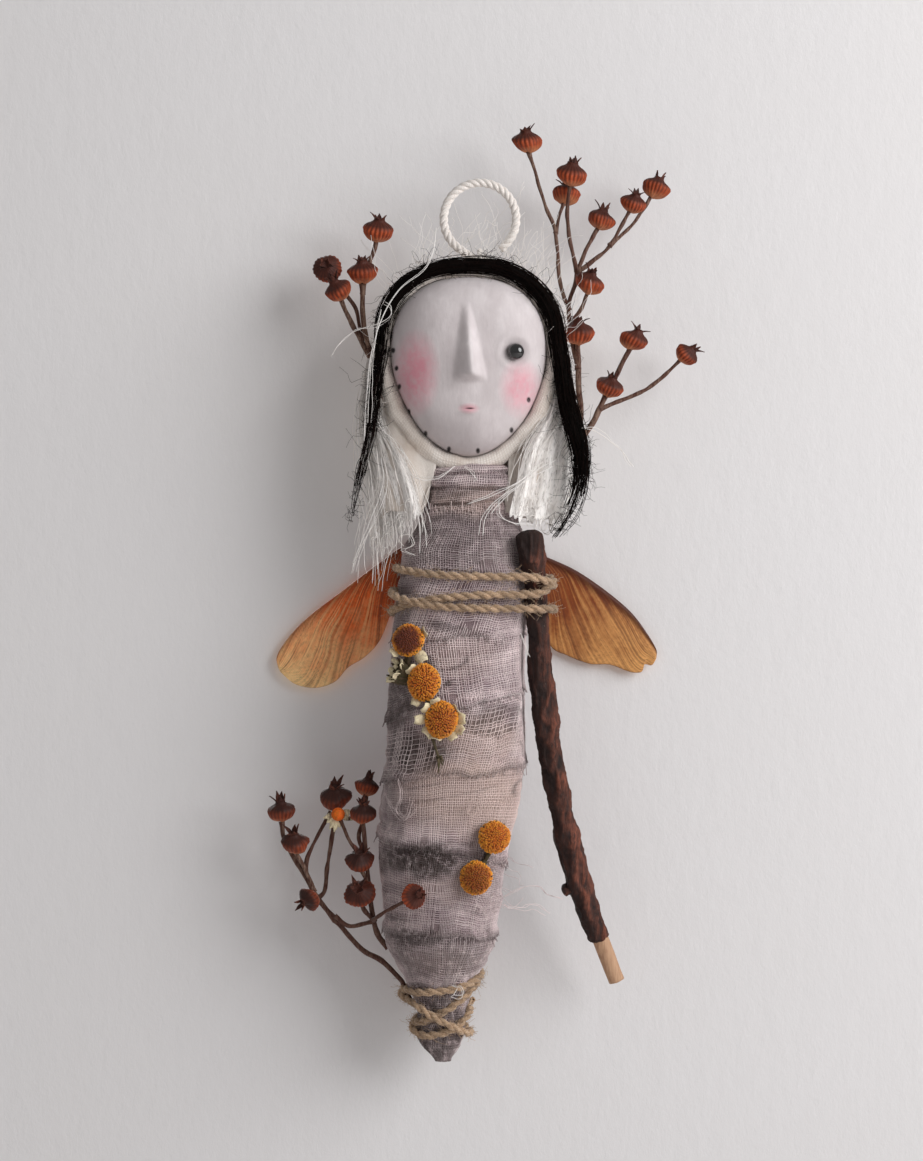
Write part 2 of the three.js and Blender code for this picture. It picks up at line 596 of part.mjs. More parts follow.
// Wound strips, the gathered tail and the stuffing
const hoodRoom = wholeHead(2 * SEAT + HOOD_THICKNESS);
const wrapFinish = (name) => (name === 'belly_wrap' ? BEIGE_GAUZE : MAUVE_GAUZE);
let upperEdge = edgeHeight(NECK_TOP, 0);
const strips = WRAPS.map(([name, z, rise]) => {
  const lowerEdge = edgeHeight(z, rise);
  const geometry = strip(upperEdge, lowerEdge, WRAP_THICKNESS);
  upperEdge = lowerEdge;
  return [name, geometry];
});

const tailTop = WRAPS.at(-1)[1];
const tailShares = [0, 0.1, 0.3, 0.5, 0.7, 0.88, 1];
const tailHeights = tailShares.map((share) => lerp(tailTop - WRAP_GAP / 2, TAIL_TIP, share));
const tail = loft(tailHeights.map((z, i) => bodyRing(() => z, i === 0 ? -WRAP_EDGE : 0)));
addPiece('tail_wrap', tail, MAUVE_GAUZE);

const stuffingFoot = tailTop + WRAP_GAP;
const stripEdges = WRAPS.map(([, z]) => z);
const stuffingHeights = [PADDING_TOP, stripEdges[0]];
stripEdges.slice(1).forEach((z, i) => stuffingHeights.push((stripEdges[i] + z) / 2, z));
stuffingHeights[stuffingHeights.length - 1] = stuffingFoot;
const stuffingInset = WRAP_THICKNESS + PADDING_ROOM;
const stuffing = loft(stuffingHeights.map((z) => bodyRing(() => z, -stuffingInset, PADDING_SIDES)));
addPiece('body_padding', cut(stuffing, stick(SEAT)), STUFFING);

// Head with its nose and eye socket
const noseBase = faceDepth(...NOSE_TIP);
const noseTop = new THREE.Vector3(NOSE_TOP[0], faceDepth(...NOSE_TOP) + NOSE_START, NOSE_TOP[1]);
const noseTip = new THREE.Vector3(NOSE_TIP[0], noseBase - NOSE_HEIGHT, NOSE_TIP[1]);
const noseSection = (share) => {
  const ridge = noseTop.clone().lerp(noseTip, share);
  const half = lerp(NOSE_TOP_WIDTH, NOSE_WIDTH, share) / 2;
  const root = lerp(noseTop.y, noseBase, share) + NOSE_ROOT;
  const narrow = half * NOSE_RIDGE;
  const corners = [[-half, root], [half, root], [narrow, ridge.y], [-narrow, ridge.y]];
  return corners.map(([dx, y]) => new THREE.Vector3(ridge.x + dx, y, ridge.z));
};
const nose = loft([0, 0.35, 0.7, 0.95, 1].map(noseSection));
const eyeFace = faceDepth(...EYE);
const eyeCentre = new THREE.Vector3(EYE[0], eyeFace + EYE_SUNK - EYE_RADIUS, EYE[1]);
const ball = (centre, radius, sides = 16) => {
  const sphere = new THREE.SphereGeometry(radius, sides, Math.round(sides * 0.6));
  return sphere.translate(centre.x, centre.y, centre.z);
};
const socketCentre = new THREE.Vector3(EYE[0], eyeFace + SOCKET_DEPTH - SOCKET_RADIUS, EYE[1]);
const socket = ball(socketCentre, SOCKET_RADIUS);
const eyePit = ball(eyeCentre, EYE_RADIUS + SEAT);
addPiece('head', cut(joined([wholeHead(0), nose]), socket, eyePit, stick(SEAT)), CLAY);
addPiece('eye_bead', ball(eyeCentre, EYE_RADIUS, 12), BLACK_BEAD);

// Hood: a shell round the head, open at the face
const hoodOuter = headShape(HOOD_RIM, EVERYWHERE, SEAT + HOOD_THICKNESS);
addPiece('hood', cut(hoodOuter, wholeHead(SEAT), stick(LOOSE)), CREAM_COTTON);

// Hanging loop: a round top, two straight legs and a round foot that the thread bar crosses
const crownAngle = Math.PI / 2;
const hoodCrown = HEAD_CENTRE.z
  + headReach(crownAngle, SEAT + HOOD_THICKNESS) * headShare(0, SEAT + HOOD_THICKNESS);
const strandHeight = hoodCrown + 2 * LOOSE + LOOP_RADIUS;
const topRadius = LOOP_INSIDE + LOOP_RADIUS;
const topCentre = -LOOP_INSIDE;
const footCentre = strandHeight + LOOP_BEND;
const lean = Math.asin((LOOP_BEND - topRadius) / (topCentre - footCentre));
const arc = (centre, radius, from, to, steps) => Array.from({ length: steps + 1 }, (_, i) => {
  const angle = lerp(from, to, i / steps);
  return new THREE.Vector3(radius * Math.cos(angle), 0, centre + radius * Math.sin(angle));
});
const loopRoute = [
  ...arc(topCentre, topRadius, lean, Math.PI - lean, 14),
  ...arc(footCentre, LOOP_BEND, Math.PI - lean, 2 * Math.PI + lean, 6),
];
addPiece('hanging_loop', tube(loopRoute, LOOP_RADIUS, 8, true), THREAD);

const barReach = LOOP_RADIUS + LOOSE + STITCH_RADIUS;
const barRoute = Array.from({ length: 9 }, (_, i) => {
  const angle = lerp(-0.22, 1.22, i / 8) * Math.PI;
  return new THREE.Vector3(0, barReach * Math.cos(angle), strandHeight + barReach * Math.sin(angle));
});
addPiece('loop_stitch', cut(tube(barRoute, STITCH_RADIUS, 6), hoodRoom), THREAD);

// Hair
const hairOver = HAIR_OVER_HEAD.map((degrees, i) => {
  const angle = THREE.MathUtils.degToRad(degrees);
  const y = HOOD_RIM - SEAT - HAIR_OVER_RADII[i];
  const reach = headReach(angle, 0) * headShare(y, 0) + 2 * LOOSE + HAIR_OVER_RADII[i];
  return onHeadLine(angle, reach, y);
});
const hairTail = (foot, rows) => rows.map((row) => foot.clone().add(vector(row.slice(0, 3))));
const hairRoute = [
  ...hairTail(hairOver[0], HAIR_LEFT_TAIL).reverse(),
  ...hairOver,
  ...hairTail(hairOver.at(-1), HAIR_RIGHT_TAIL),
];
const hairRadii = [
  ...HAIR_LEFT_TAIL.map((row) => row[3]).reverse(),
  ...HAIR_OVER_RADII,
  ...HAIR_RIGHT_TAIL.map((row) => row[3]),
];
addPiece('hair_roving', tube(hairRoute, hairRadii, HAIR_SIDES), BLACK_WOOL);

// Veils: a sheet between two edges, waved into folds
function veil(innerPoints, outerPoints, folds) {
  const inner = new THREE.CatmullRomCurve3(innerPoints.map(vector));
  const outer = new THREE.CatmullRomCurve3(outerPoints.map(vector));
  const across = folds * 4;
  const sheetRow = (share, offset) => Array.from({ length: across + 1 }, (_, i) => {
    const point = inner.getPoint(share).lerp(outer.getPoint(share), i / across);
    const depth = Math.min(share * 1.6 + 0.25, 1) * VEIL_FOLD;
    point.y += depth * Math.cos((2 * Math.PI * folds * i) / across) + offset;
    return point;
  });
  const rows = [0, 0.2, 0.4, 0.6, 0.8, 1];
  const side = (offset) => rows.map((share) => sheetRow(share, offset));
  return slab(side(-VEIL_THICKNESS / 2), side(VEIL_THICKNESS / 2));
}
addPiece('veil_left', veil(VEIL_LEFT_INNER, VEIL_LEFT_OUTER, VEIL_LEFT_FOLDS), WHITE_GAUZE);
addPiece('veil_right', veil(VEIL_RIGHT_INNER, VEIL_RIGHT_OUTER, VEIL_RIGHT_FOLDS), WHITE_GAUZE);

// Staff: a wooden core in a sleeve of bark
const lashAngle = THREE.MathUtils.degToRad(STAFF_LASH_ANGLE);
const lashPoint = around(STAFF_LASH_HEIGHT, lashAngle, WRAP_SWELL + STAFF_ROOM + STAFF_RADIUS);
const alongStaff = (offsets) => lashPoint.clone().add(vector(offsets.slice(0, 3)));
const staffRoute = STAFF_ROUTE.map(alongStaff);
const staffRadii = STAFF_ROUTE.map((row) => row[3] * STAFF_RADIUS);
const woodRadii = staffRadii.map((radius) => radius - BARK_THICKNESS - SEAT);
const staffWood = tube([...staffRoute, alongStaff(PEELED_END)], [...woodRadii, PEELED_RADIUS], STAFF_SIDES);
addPiece('staff_wood', staffWood, PEELED_WOOD);
const boreRadii = staffRadii.map((radius) => radius - BARK_THICKNESS);
const stretched = [...staffRoute];
stretched[0] = staffRoute[0].clone().lerp(staffRoute[1], -0.2);
stretched[stretched.length - 1] = staffRoute.at(-1).clone().lerp(staffRoute.at(-2), -0.2);
const stubFoot = staffRoute[STUB_AT];
const stub = tube([stubFoot, stubFoot.clone().add(vector(STUB_TIP))], [STUB_RADIUS, STUB_RADIUS * 0.9], 8);
const bark = joined([tube(staffRoute, staffRadii, STAFF_SIDES), stub]);
addPiece('staff_bark', cut(bark, tube(stretched, boreRadii, STAFF_SIDES)), BARK);

// Twine: the line that a taut turn takes round the body and anything held against it
function tautPoint(z, angle, lift, { centre, reach }) {
  const outward = new THREE.Vector3(Math.cos(angle), Math.sin(angle), 0);
  const onBody = around(z, angle, lift);
  const onHeld = new THREE.Vector3(centre.x, centre.y, z).addScaledVector(outward, reach);
  return onHeld.dot(outward) > onBody.dot(outward) ? onHeld : onBody;
}

// The least gap between a winding's turns, measured on its centre points
function leastGap(name, route, radius) {
  let least = Infinity;
  for (let i = 0; i < route.length; i += 1) {
    for (let j = i + TWINE_STEPS / 2; j < route.length; j += 1) {
      const step = route[Math.min(j + 1, route.length - 1)].clone().sub(route[j]);
      const share = THREE.MathUtils.clamp(
        route[i].clone().sub(route[j]).dot(step) / Math.max(step.lengthSq(), 1e-9), 0, 1,
      );
      least = Math.min(least, route[i].distanceTo(route[j].clone().addScaledVector(step, share)));
    }
  }
  console.log(`${name}: least gap between turns ${(least - 2 * radius).toFixed(2)} mm`);
}

// Chest turns start and end at the back, and pass the right edge, the front and the left edge
const chestHeights = [CHEST_TWINE_START, ...CHEST_TWINE_TURNS.flat(), CHEST_TWINE_END];
const chestShares = chestHeights.map((_, i) => {
  const last = chestHeights.length - 1;
  return i === 0 ? 0 : (i === last ? last - 1 : i - 0.5) / 2;
});
function chestHeight(turn) {
  let i = 0;
  while (i < chestShares.length - 2 && turn > chestShares[i + 1]) i += 1;
  const share = (turn - chestShares[i]) / (chestShares[i + 1] - chestShares[i]);
  return lerp(chestHeights[i], chestHeights[i + 1], share);
}
function staffHeld(z) {
  let i = 0;
  while (i < staffRoute.length - 2 && z < staffRoute[i + 1].z) i += 1;
  const share = (staffRoute[i].z - z) / (staffRoute[i].z - staffRoute[i + 1].z);
  const centre = staffRoute[i].clone().lerp(staffRoute[i + 1], share);
  return { centre, reach: lerp(staffRadii[i], staffRadii[i + 1], share) + STAFF_ROOM + TWINE_RADIUS };
}
const chestRoute = Array.from({ length: CHEST_TWINE_TURNS.length * TWINE_STEPS + 1 }, (_, i) => {
  const turn = i / TWINE_STEPS;
  const z = chestHeight(turn);
  return tautPoint(z, Math.PI / 2 - turn * 2 * Math.PI, WRAP_SWELL + SEAT + TWINE_RADIUS, staffHeld(z));
});
leastGap('chest_twine', chestRoute, TWINE_RADIUS);
addPiece('chest_twine', tube(chestRoute, TWINE_RADIUS, TWINE_SIDES), JUTE);

// Sprigs
function stem(route, fromRadius, toRadius) {
  const curve = new THREE.CatmullRomCurve3(route.map(vector));
  const steps = route.length;
  const radii = Array.from({ length: steps + 1 }, (_, i) => lerp(fromRadius, toRadius, i / steps));
  return tube(curve.getPoints(steps), radii, STEM_SIDES);
}

// A seed pod standing on its stem's end, looking along the direction
function pod([place, direction, size = 1]) {
  const radius = POD_RADIUS * size;
  const profile = POD_PROFILE.map(([r, h]) => new THREE.Vector2(r * radius, h * radius));
  const geometry = new THREE.LatheGeometry(profile, POD_SIDES);
  geometry.applyQuaternion(new THREE.Quaternion().setFromUnitVectors(
    new THREE.Vector3(0, 1, 0), vector(direction).normalize(),
  ));
  return geometry.translate(...place);
}

// A sprig whose first stem begins at the foot points
function sprig(name, foot, [[route, ...radii], ...others], pods) {
  const stems = [[[...foot, ...route], ...radii], ...others];
  addPiece(name, joined([...stems.map((row) => stem(...row)), ...pods.map(pod)]), DRY_STEM);
}

const besideNeck = ([z, y, radius]) => [section(z).right + SEAT + radius, y, z];
sprig('sprig_right_tall', [besideNeck(RIGHT_TALL_FOOT)], RIGHT_TALL_STEMS, RIGHT_TALL_PODS);
sprig('sprig_right_low', [besideNeck(RIGHT_LOW_FOOT)], RIGHT_LOW_STEMS, RIGHT_LOW_PODS);

// The hood's left side below its widest place, at a depth and height
function hoodSide(y, z) {
  const grow = SEAT + HOOD_THICKNESS;
  const share = headShare(y, grow);
  const drop = ((HEAD_CENTRE.z - z) / ((HEAD_JAW + grow) * share)) ** JAW_SQUARENESS;
  return HEAD_CENTRE.x - (HEAD_HALF_WIDTH + grow) * share * (1 - drop) ** (1 / JAW_SQUARENESS);
}
const [leftFootDepth, leftFootHeight, leftFootRadius] = LEFT_HIGH_FOOT;
const leftFootX = hoodSide(leftFootDepth, leftFootHeight) - SEAT - leftFootRadius;
const besideHood = [leftFootX, leftFootDepth, leftFootHeight];
sprig('sprig_left_high', [besideHood], LEFT_HIGH_STEMS, LEFT_HIGH_PODS);

const leftwards = Math.PI;

const footStem = (z) => around(z, leftwards, WRAP_SWELL + SEAT + FOOT_STEM_RADIUS);
const footStemRoute = FOOT_STEM_HEIGHTS.map((z) => footStem(z).toArray());
sprig('sprig_low_outer', footStemRoute, LOW_OUTER_STEMS, LOW_OUTER_PODS);

const [shinHeight, shinStemRadius] = LOW_INNER_FOOT;
const shinTuck = around(shinHeight, leftwards, WRAP_SWELL + SEAT + shinStemRadius).toArray();
const inFront = onFront(...FRONT_POD, POD_RADIUS + WRAP_SWELL + SEAT).toArray();
sprig(
  'sprig_low_inner',
  [shinTuck],
  [...LOW_INNER_STEMS, [[...FRONT_POD_STEM, inFront], ...FRONT_POD_STEM_RADII]],
  [...LOW_INNER_PODS, [inFront, FRONT_POD_LOOKS]],
);

// Foot turns: the inner layer goes down, climbs out over itself and comes back up
const ankleTurns = ANKLE_TURNS_DOWN + ANKLE_TURNS_OUT + ANKLE_TURNS_UP;
const layerStep = 2 * ANKLE_TWINE_RADIUS + ANKLE_LAYER_GAP;
const ankleRoute = Array.from({ length: ankleTurns * TWINE_STEPS + 1 }, (_, i) => {
  const turn = i / TWINE_STEPS;
  const angle = Math.PI / 2 - turn * 2 * Math.PI;
  const climbed = THREE.MathUtils.clamp((turn - ANKLE_TURNS_DOWN) / ANKLE_TURNS_OUT, 0, 1);
  const down = Math.min(turn, ANKLE_TURNS_DOWN);
  const up = Math.max(turn - ANKLE_TURNS_DOWN - ANKLE_TURNS_OUT, 0);
  const sag = ANKLE_SAG * Math.max(-Math.sin(angle), 0);
  const z = ANKLE_TOP - ANKLE_PITCH * (down - up) - sag;
  const lift = SEAT + ANKLE_TWINE_RADIUS + climbed * layerStep;
  const overStem = z > FOOT_STEM_HEIGHTS[0] - layerStep;
  const held = { centre: footStem(z), reach: overStem ? FOOT_STEM_RADIUS + SEAT + lift : 0 };
  return tautPoint(z, angle, WRAP_SWELL + lift, held);
});
leastGap('ankle_twine', ankleRoute, ANKLE_TWINE_RADIUS);
addPiece('ankle_twine', tube(ankleRoute, ANKLE_TWINE_RADIUS, TWINE_SIDES), JUTE);

// Wings lie behind the chest twine, each on a knotted thread through the strips
const twineBack = Math.max(...chestRoute.map((point) => point.y)) + TWINE_RADIUS;
const wingFront = twineBack + SEAT;
const pinAlong = (x, z, radius, from, to) =>
  tube([new THREE.Vector3(x, from, z), new THREE.Vector3(x, to, z)], radius, 10);
function wing(side, outline, rib, [pinX, pinZ]) {
  const shape = new THREE.Shape();
  const points = outline.map(([x, z]) => new THREE.Vector2(x, z));
  shape.moveTo(points[0].x, points[0].y);
  points.slice(1).forEach((point) => shape.lineTo(point.x, point.y));
  const plate = new THREE.ExtrudeGeometry(shape, { depth: WING_THICKNESS, bevelEnabled: false });
  plate.rotateX(Math.PI / 2).translate(0, wingFront + WING_THICKNESS, 0);
  const ribPoints = points.slice(rib[0], rib[1] + 1);
  const ribMiddle = wingFront + WING_THICKNESS / 2;
  const ribRadii = ribPoints.map((_, i) => WING_RIB * lerp(1, 0.65, i / (ribPoints.length - 1)));
  const ribRoute = ribPoints.map((point) => new THREE.Vector3(point.x, ribMiddle, point.y));
  const ribTube = tube(ribRoute, ribRadii, 6);
  const through = [wingFront - WING_THICKNESS, wingFront + 2 * WING_THICKNESS];
  const pinHole = pinAlong(pinX, pinZ, WING_PIN_RADIUS + LOOSE, ...through);
  addPiece(`${side}_wing`, cut(joined([plate, ribTube]), pinHole), SEED_WING);

  const back = section(pinZ).y + halfDepthAt(pinX, pinZ);
  const wingBack = wingFront + WING_THICKNESS + SEAT;
  const pin = pinAlong(pinX, pinZ, WING_PIN_RADIUS, back - WING_PIN_DEPTH, wingBack + 0.1);
  const knot = pinAlong(pinX, pinZ, WING_KNOT_RADIUS, wingBack, wingBack + WING_KNOT_THICKNESS);
  addPiece(`${side}_wing_stitch`, joined([pin, knot]), THREAD);
  return pinAlong(pinX, pinZ, WING_PIN_RADIUS + SEAT, back - WING_PIN_DEPTH - SEAT, back + 2);
}
const wingHoles = [
  wing('left', LEFT_WING, LEFT_RIB, LEFT_WING_PIN),
  wing('right', RIGHT_WING, RIGHT_RIB, RIGHT_WING_PIN),
];
strips.forEach(([name, geometry]) => {
  const tools = { neck_wrap: [hoodRoom], shoulder_wrap: wingHoles }[name] ?? [];
  addPiece(name, tools.length ? cut(geometry, ...tools) : geometry, wrapFinish(name));
});

// Yellow button flowers: a cup on a stem, and the button of florets that sits in it
function buttonParts(x, z, lean) {
  const direction = vector(lean).normalize();
  const foot = onFront(x, z, WRAP_SWELL + TANSY_ROOM);
  const turn = new THREE.Quaternion().setFromUnitVectors(new THREE.Vector3(0, 1, 0), direction);
  const placed = (profile) => {
    const points = profile.map(([r, h]) => new THREE.Vector2(r, h));
    const geometry = new THREE.LatheGeometry(points, BUTTON_SIDES);
    return geometry.applyQuaternion(turn).translate(middle.x, middle.y, middle.z);
  };
  const rim = BUTTON_RADIUS + CUP_WALL / 2;
  const tilt = Math.acos(Math.min(-direction.y, 1));
  const middle = foot.clone().addScaledVector(new THREE.Vector3(0, -1, 0), SEAT + rim * Math.sin(tilt));
  const cup = placed([
    [0, 0], [rim * 0.6, 0.1], [rim, CUP_DEPTH],
    [rim - CUP_WALL, CUP_DEPTH], [rim * 0.5, CUP_FLOOR], [0, CUP_FLOOR],
  ]);
  const base = CUP_FLOOR + SEAT;
  const button = placed([
    [0, base], [rim * 0.4, base], [rim - CUP_WALL - LOOSE, CUP_DEPTH + SEAT / 2],
    [BUTTON_RADIUS, CUP_DEPTH + LOOSE], [BUTTON_RADIUS * 0.86, base + BUTTON_HEIGHT * 0.8],
    [0, base + BUTTON_HEIGHT],
  ]);
  return { cup, button, middle, direction };
}

function tansy(name, heads, stemRoute) {
  const parts = heads.map((row) => buttonParts(...row));
  const main = stemRoute.map(([x, z]) => onFront(x, z, WRAP_SWELL + TANSY_ROOM + TANSY_STEM_RADIUS));
  const stems = [stem(main.map((point) => point.toArray()), TANSY_STEM_RADIUS, TANSY_STEM_RADIUS)];
  parts.forEach(({ middle, direction }) => {
    const far = (point) => point.distanceTo(middle);
    const near = main.reduce((best, point) => (far(point) < far(best) ? point : best));
    const inCup = middle.clone().addScaledVector(direction, CUP_FLOOR / 2);
    stems.push(stem([near.toArray(), inCup.toArray()], TANSY_STEM_RADIUS, TANSY_STALK_RADIUS));
  });
  addPiece(`${name}_sprig`, joined([...stems, ...parts.map(({ cup }) => cup)]), DRY_CALYX);
  parts.forEach(({ button }, i) => addPiece(`${name}_button_${i + 1}`, button, YELLOW_FLORETS));
}
tansy('tansy_upper', TANSY_UPPER_HEADS, TANSY_UPPER_STEM);
tansy('tansy_lower', TANSY_LOWER_HEADS, TANSY_LOWER_STEM);

export default doll;
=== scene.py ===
"""Dress the wall-hung doll: gauze strips, painted face, wool hair, winged seeds, staff and dried flowers."""

import math

import bpy
import numpy as np
from bpy.props import FloatProperty, FloatVectorProperty, IntProperty, PointerProperty
from bpy.types import Operator, Panel, PropertyGroup
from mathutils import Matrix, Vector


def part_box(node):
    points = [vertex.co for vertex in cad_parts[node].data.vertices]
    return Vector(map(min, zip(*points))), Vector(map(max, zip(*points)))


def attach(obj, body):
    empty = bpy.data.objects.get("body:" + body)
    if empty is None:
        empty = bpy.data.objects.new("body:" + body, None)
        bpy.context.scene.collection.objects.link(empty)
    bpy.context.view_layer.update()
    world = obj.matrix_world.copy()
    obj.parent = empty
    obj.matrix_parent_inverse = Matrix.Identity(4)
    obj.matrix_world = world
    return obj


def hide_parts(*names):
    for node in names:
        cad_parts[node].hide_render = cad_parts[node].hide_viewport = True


bl_info = {
    "name": "Wall-hung doll",
    "version": (1, 0, 0),
    "blender": (4, 5, 0),
    "location": "3D View > Sidebar > Doll",
    "description": "Models a gauze-wrapped doll with a clay face, winged seeds, a staff and dried flowers",
    "category": "Add Mesh",
}

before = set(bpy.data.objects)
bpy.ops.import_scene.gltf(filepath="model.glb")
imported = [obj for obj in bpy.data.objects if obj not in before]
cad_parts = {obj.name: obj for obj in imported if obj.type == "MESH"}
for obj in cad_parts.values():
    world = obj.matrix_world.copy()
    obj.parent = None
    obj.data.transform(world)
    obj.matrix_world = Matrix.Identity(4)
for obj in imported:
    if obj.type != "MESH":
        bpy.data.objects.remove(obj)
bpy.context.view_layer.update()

# Tables and working sizes are millimetres; meshes are metres.
MM = 0.001
TURN = 2 * math.pi
SEED = 11
# Points nearer than this, in metres, are merged at a seam
SEAM = 0.000002
# Scale of a wave texture that has one band to a millimetre
WAVE = TURN / 20


def linear(code):
    """Scene colour of a written colour code."""
    shares = [int(code[i:i + 2], 16) / 255 for i in (1, 3, 5)]
    return tuple(s / 12.92 if s <= 0.04045 else ((s + 0.055) / 1.055) ** 2.4 for s in shares)


COLOURS = {
    "clay": ("#d8d0d1", "Painted clay of the face"),
    # clay_shade also paints the shadow of the hair at the top left of the face
    "clay_shade": ("#b6acad", "Thin paint between the brush strokes"),
    "blush": ("#e2798f", "Paint on the cheeks and lips"),
    "ink": ("#1c181a", "Dots and fine lines on the jaw"),
    "bead": ("#060607", "Eye bead"),
    "cotton": ("#f0e9e2", "Hood"),
    # cotton_shade also paints the shade on the left side of the hood
    "cotton_shade": ("#c8b7a9", "Stained folds of the hood"),
    "wool": ("#0d0c0b", "Hair"),
    "white_thread": ("#f6f2ef", "Loose white threads and veils"),
    "mauve_light": ("#dbc6c8", "Palest dye of the strips"),
    "mauve_dark": ("#7f676d", "Deepest dye of the strips"),
    # stain is both real stains and painted shade: dark lines in creases and under strip edges, the gaps of
    # the weave and down the body's left side
    "stain": ("#33241f", "Dark stains in the strips"),
    "beige": ("#d4baae", "Undyed places in the strips"),
    "strip_thread": ("#f6e6e5", "Single threads of the strips"),
    "stuffing": ("#e8e4da", "Wadding inside the body"),
    "stick": ("#c9a67a", "Stick inside the body"),
    "jute_light": ("#efd2b0", "Palest fibres of the string"),
    "jute_dark": ("#916c50", "Grooves of the string"),
    "wing_root": ("#521605", "Seed wing by its seed"),
    "wing_mid": ("#884110", "Seed wing at its middle"),
    "wing_tip": ("#dca05e", "Seed wing at its tip"),
    # The next two colours are a painted glow: the left wing made brighter for light coming through it from
    # behind
    "backlit_wing_mid": ("#f0681e", "The more golden seed wing at its middle"),
    "backlit_wing_tip": ("#ffd292", "The more golden seed wing at its tip"),
    "vein": ("#4a1f0d", "Veins and thick edge of a seed wing"),
    # bark_dark also paints the shade down the left side of the staff
    "bark_dark": ("#20110e", "Cracks of the bark"),
    "bark_red": ("#8f5340", "Worn ridges of the bark"),
    "peeled": ("#c09a7c", "Peeled wood"),
    "stem": ("#4d2c22", "Dry stems"),
    "stem_grey": ("#8a7162", "Weathered side of a dry stem"),
    "pod": ("#ab4a24", "Ribs of a seed pod"),
    "pod_pale": ("#d39468", "Foot of a seed pod"),
    "pod_dark": ("#5c2416", "Grooves of a seed pod"),
    "sepal": ("#371913", "Crown of a seed pod"),
    "floret": ("#f0aa30", "Florets at the rim of a button"),
    "floret_core": ("#d06a14", "Florets at the middle of a button"),
    "bract": ("#e6d9b6", "Papery bracts"),
    "calyx": ("#454029", "Cups and stems of the button flowers"),
    "wall": ("#e0dedf", "Wall behind the doll"),
    "floor": ("#dcd8d5", "Floor below the doll"),
}

SIZES = {
    "thread_pitch": (0.5, "Distance between the threads of a strip"),
    "thread_radius": (0.112, "Half the thickness of a strip's thread"),
    "strip_thickness": (0.5, "Thickness of the cloth under the threads"),
    "hood_thickness": (0.6, "Thickness of the hood's cloth"),
    "veil_thickness": (0.16, "Thickness of the veils"),
    "hair_radius": (0.075, "Half the thickness of a hair"),
    "jute_pitch": (5.2, "Length of one twist of the string"),
    "wing_thickness": (0.55, "Thickness of a seed wing"),
    "bark_relief": (0.42, "Height of the bark's ridges"),
    "pod_radius": (2.9, "Half the width of a seed pod"),
    "button_radius": (3.4, "Half the width of a button flower"),
}


class DollColours(PropertyGroup):
    """Colours of the doll's finishes."""
    __annotations__ = {
        key: FloatVectorProperty(name=key.replace("_", " ").capitalize(), description=text, size=3,
                                 default=linear(code), min=0, max=1, subtype="COLOR")
        for key, (code, text) in COLOURS.items()
    }


class DollSizes(PropertyGroup):
    """Sizes of the doll's details."""
    __annotations__ = {
        key: FloatProperty(name=key.replace("_", " ").capitalize(), description=text,
                           default=size * MM, min=0.00001, max=0.05, unit="LENGTH", precision=5)
        for key, (size, text) in SIZES.items()
    }
    __annotations__.update({
        "hairs": IntProperty(name="Hairs", description="Hairs in the hank", default=470, min=50, max=900),
        "veil_threads": IntProperty(name="Veil threads", description="Loose threads in each veil",
                                    default=210, min=20, max=400),
    })


def size(key):
    """A size of the doll, in millimetres."""
    return getattr(bpy.context.scene.doll_sizes, key) / MM


def colour(key):
    """A colour of the doll, as red, green, blue and alpha."""
    return (*getattr(bpy.context.scene.doll_colours, key), 1.0)


# Selecting, placing and finishing meshes


def deselect():
    if bpy.context.mode != "OBJECT":
        bpy.ops.object.mode_set(mode="OBJECT")
    bpy.ops.object.select_all(action="DESELECT")


def pick(piece):
    deselect()
    piece.select_set(True)
    bpy.context.view_layer.objects.active = piece


def named(name):
    piece = bpy.context.active_object
    piece.name = piece.data.name = name
    return piece


def raw_points(piece):
    flat = np.empty(len(piece.data.vertices) * 3, dtype=np.float32)
    piece.data.vertices.foreach_get("co", flat)
    return flat.reshape(-1, 3).astype(float)


def place(piece, points):
    """Move every point of a piece to its place in millimetres."""
    piece.data.vertices.foreach_set("co", (np.asarray(points) * MM).astype(np.float32).ravel())
    piece.data.update()


def grid(name, columns, rows):
    """Add a flat grid; return it with each point's share across and along."""
    deselect()
    bpy.ops.mesh.primitive_grid_add(x_subdivisions=columns, y_subdivisions=rows, size=2)
    piece = named(name)
    shares = (raw_points(piece)[:, :2] + 1) / 2
    return piece, shares[:, 0], shares[:, 1]


def edit(piece, *steps):
    """Run edit-mode steps on all of a piece."""
    pick(piece)
    bpy.ops.object.mode_set(mode="EDIT")
    bpy.ops.mesh.select_all(action="SELECT")
    for step in steps:
        step()
    bpy.ops.object.mode_set(mode="OBJECT")


def close_seam(piece):
    """Merge the points that meet at a seam or a pole."""
    edit(piece, lambda: bpy.ops.mesh.remove_doubles(threshold=SEAM))


def face_outwards(piece):
    edit(piece, lambda: bpy.ops.mesh.normals_make_consistent(inside=False))


def thicken(piece, thickness, offset=-1.0):
    """Give a sheet its thickness in millimetres."""
    pick(piece)
    wall = piece.modifiers.new("Thickness", "SOLIDIFY")
    wall.thickness, wall.offset = thickness * MM, offset
    bpy.ops.object.modifier_apply(modifier=wall.name)


def join(pieces, name):
    """Make one piece of several; the first keeps its materials first."""
    pick(pieces[0])
    for piece in pieces[1:]:
        piece.select_set(True)
    bpy.ops.object.join()
    return named(name)


def smooth(piece):
    pick(piece)
    bpy.ops.object.shade_smooth()
    return piece


def write(piece, name, values):
    """Store a number at each point of a piece."""
    layer = piece.data.attributes.new(name, "FLOAT", "POINT")
    layer.data.foreach_set("value", np.asarray(values, dtype=np.float32))


def paint(piece, finish):
    piece.data.materials.clear()
    piece.data.materials.append(finish)


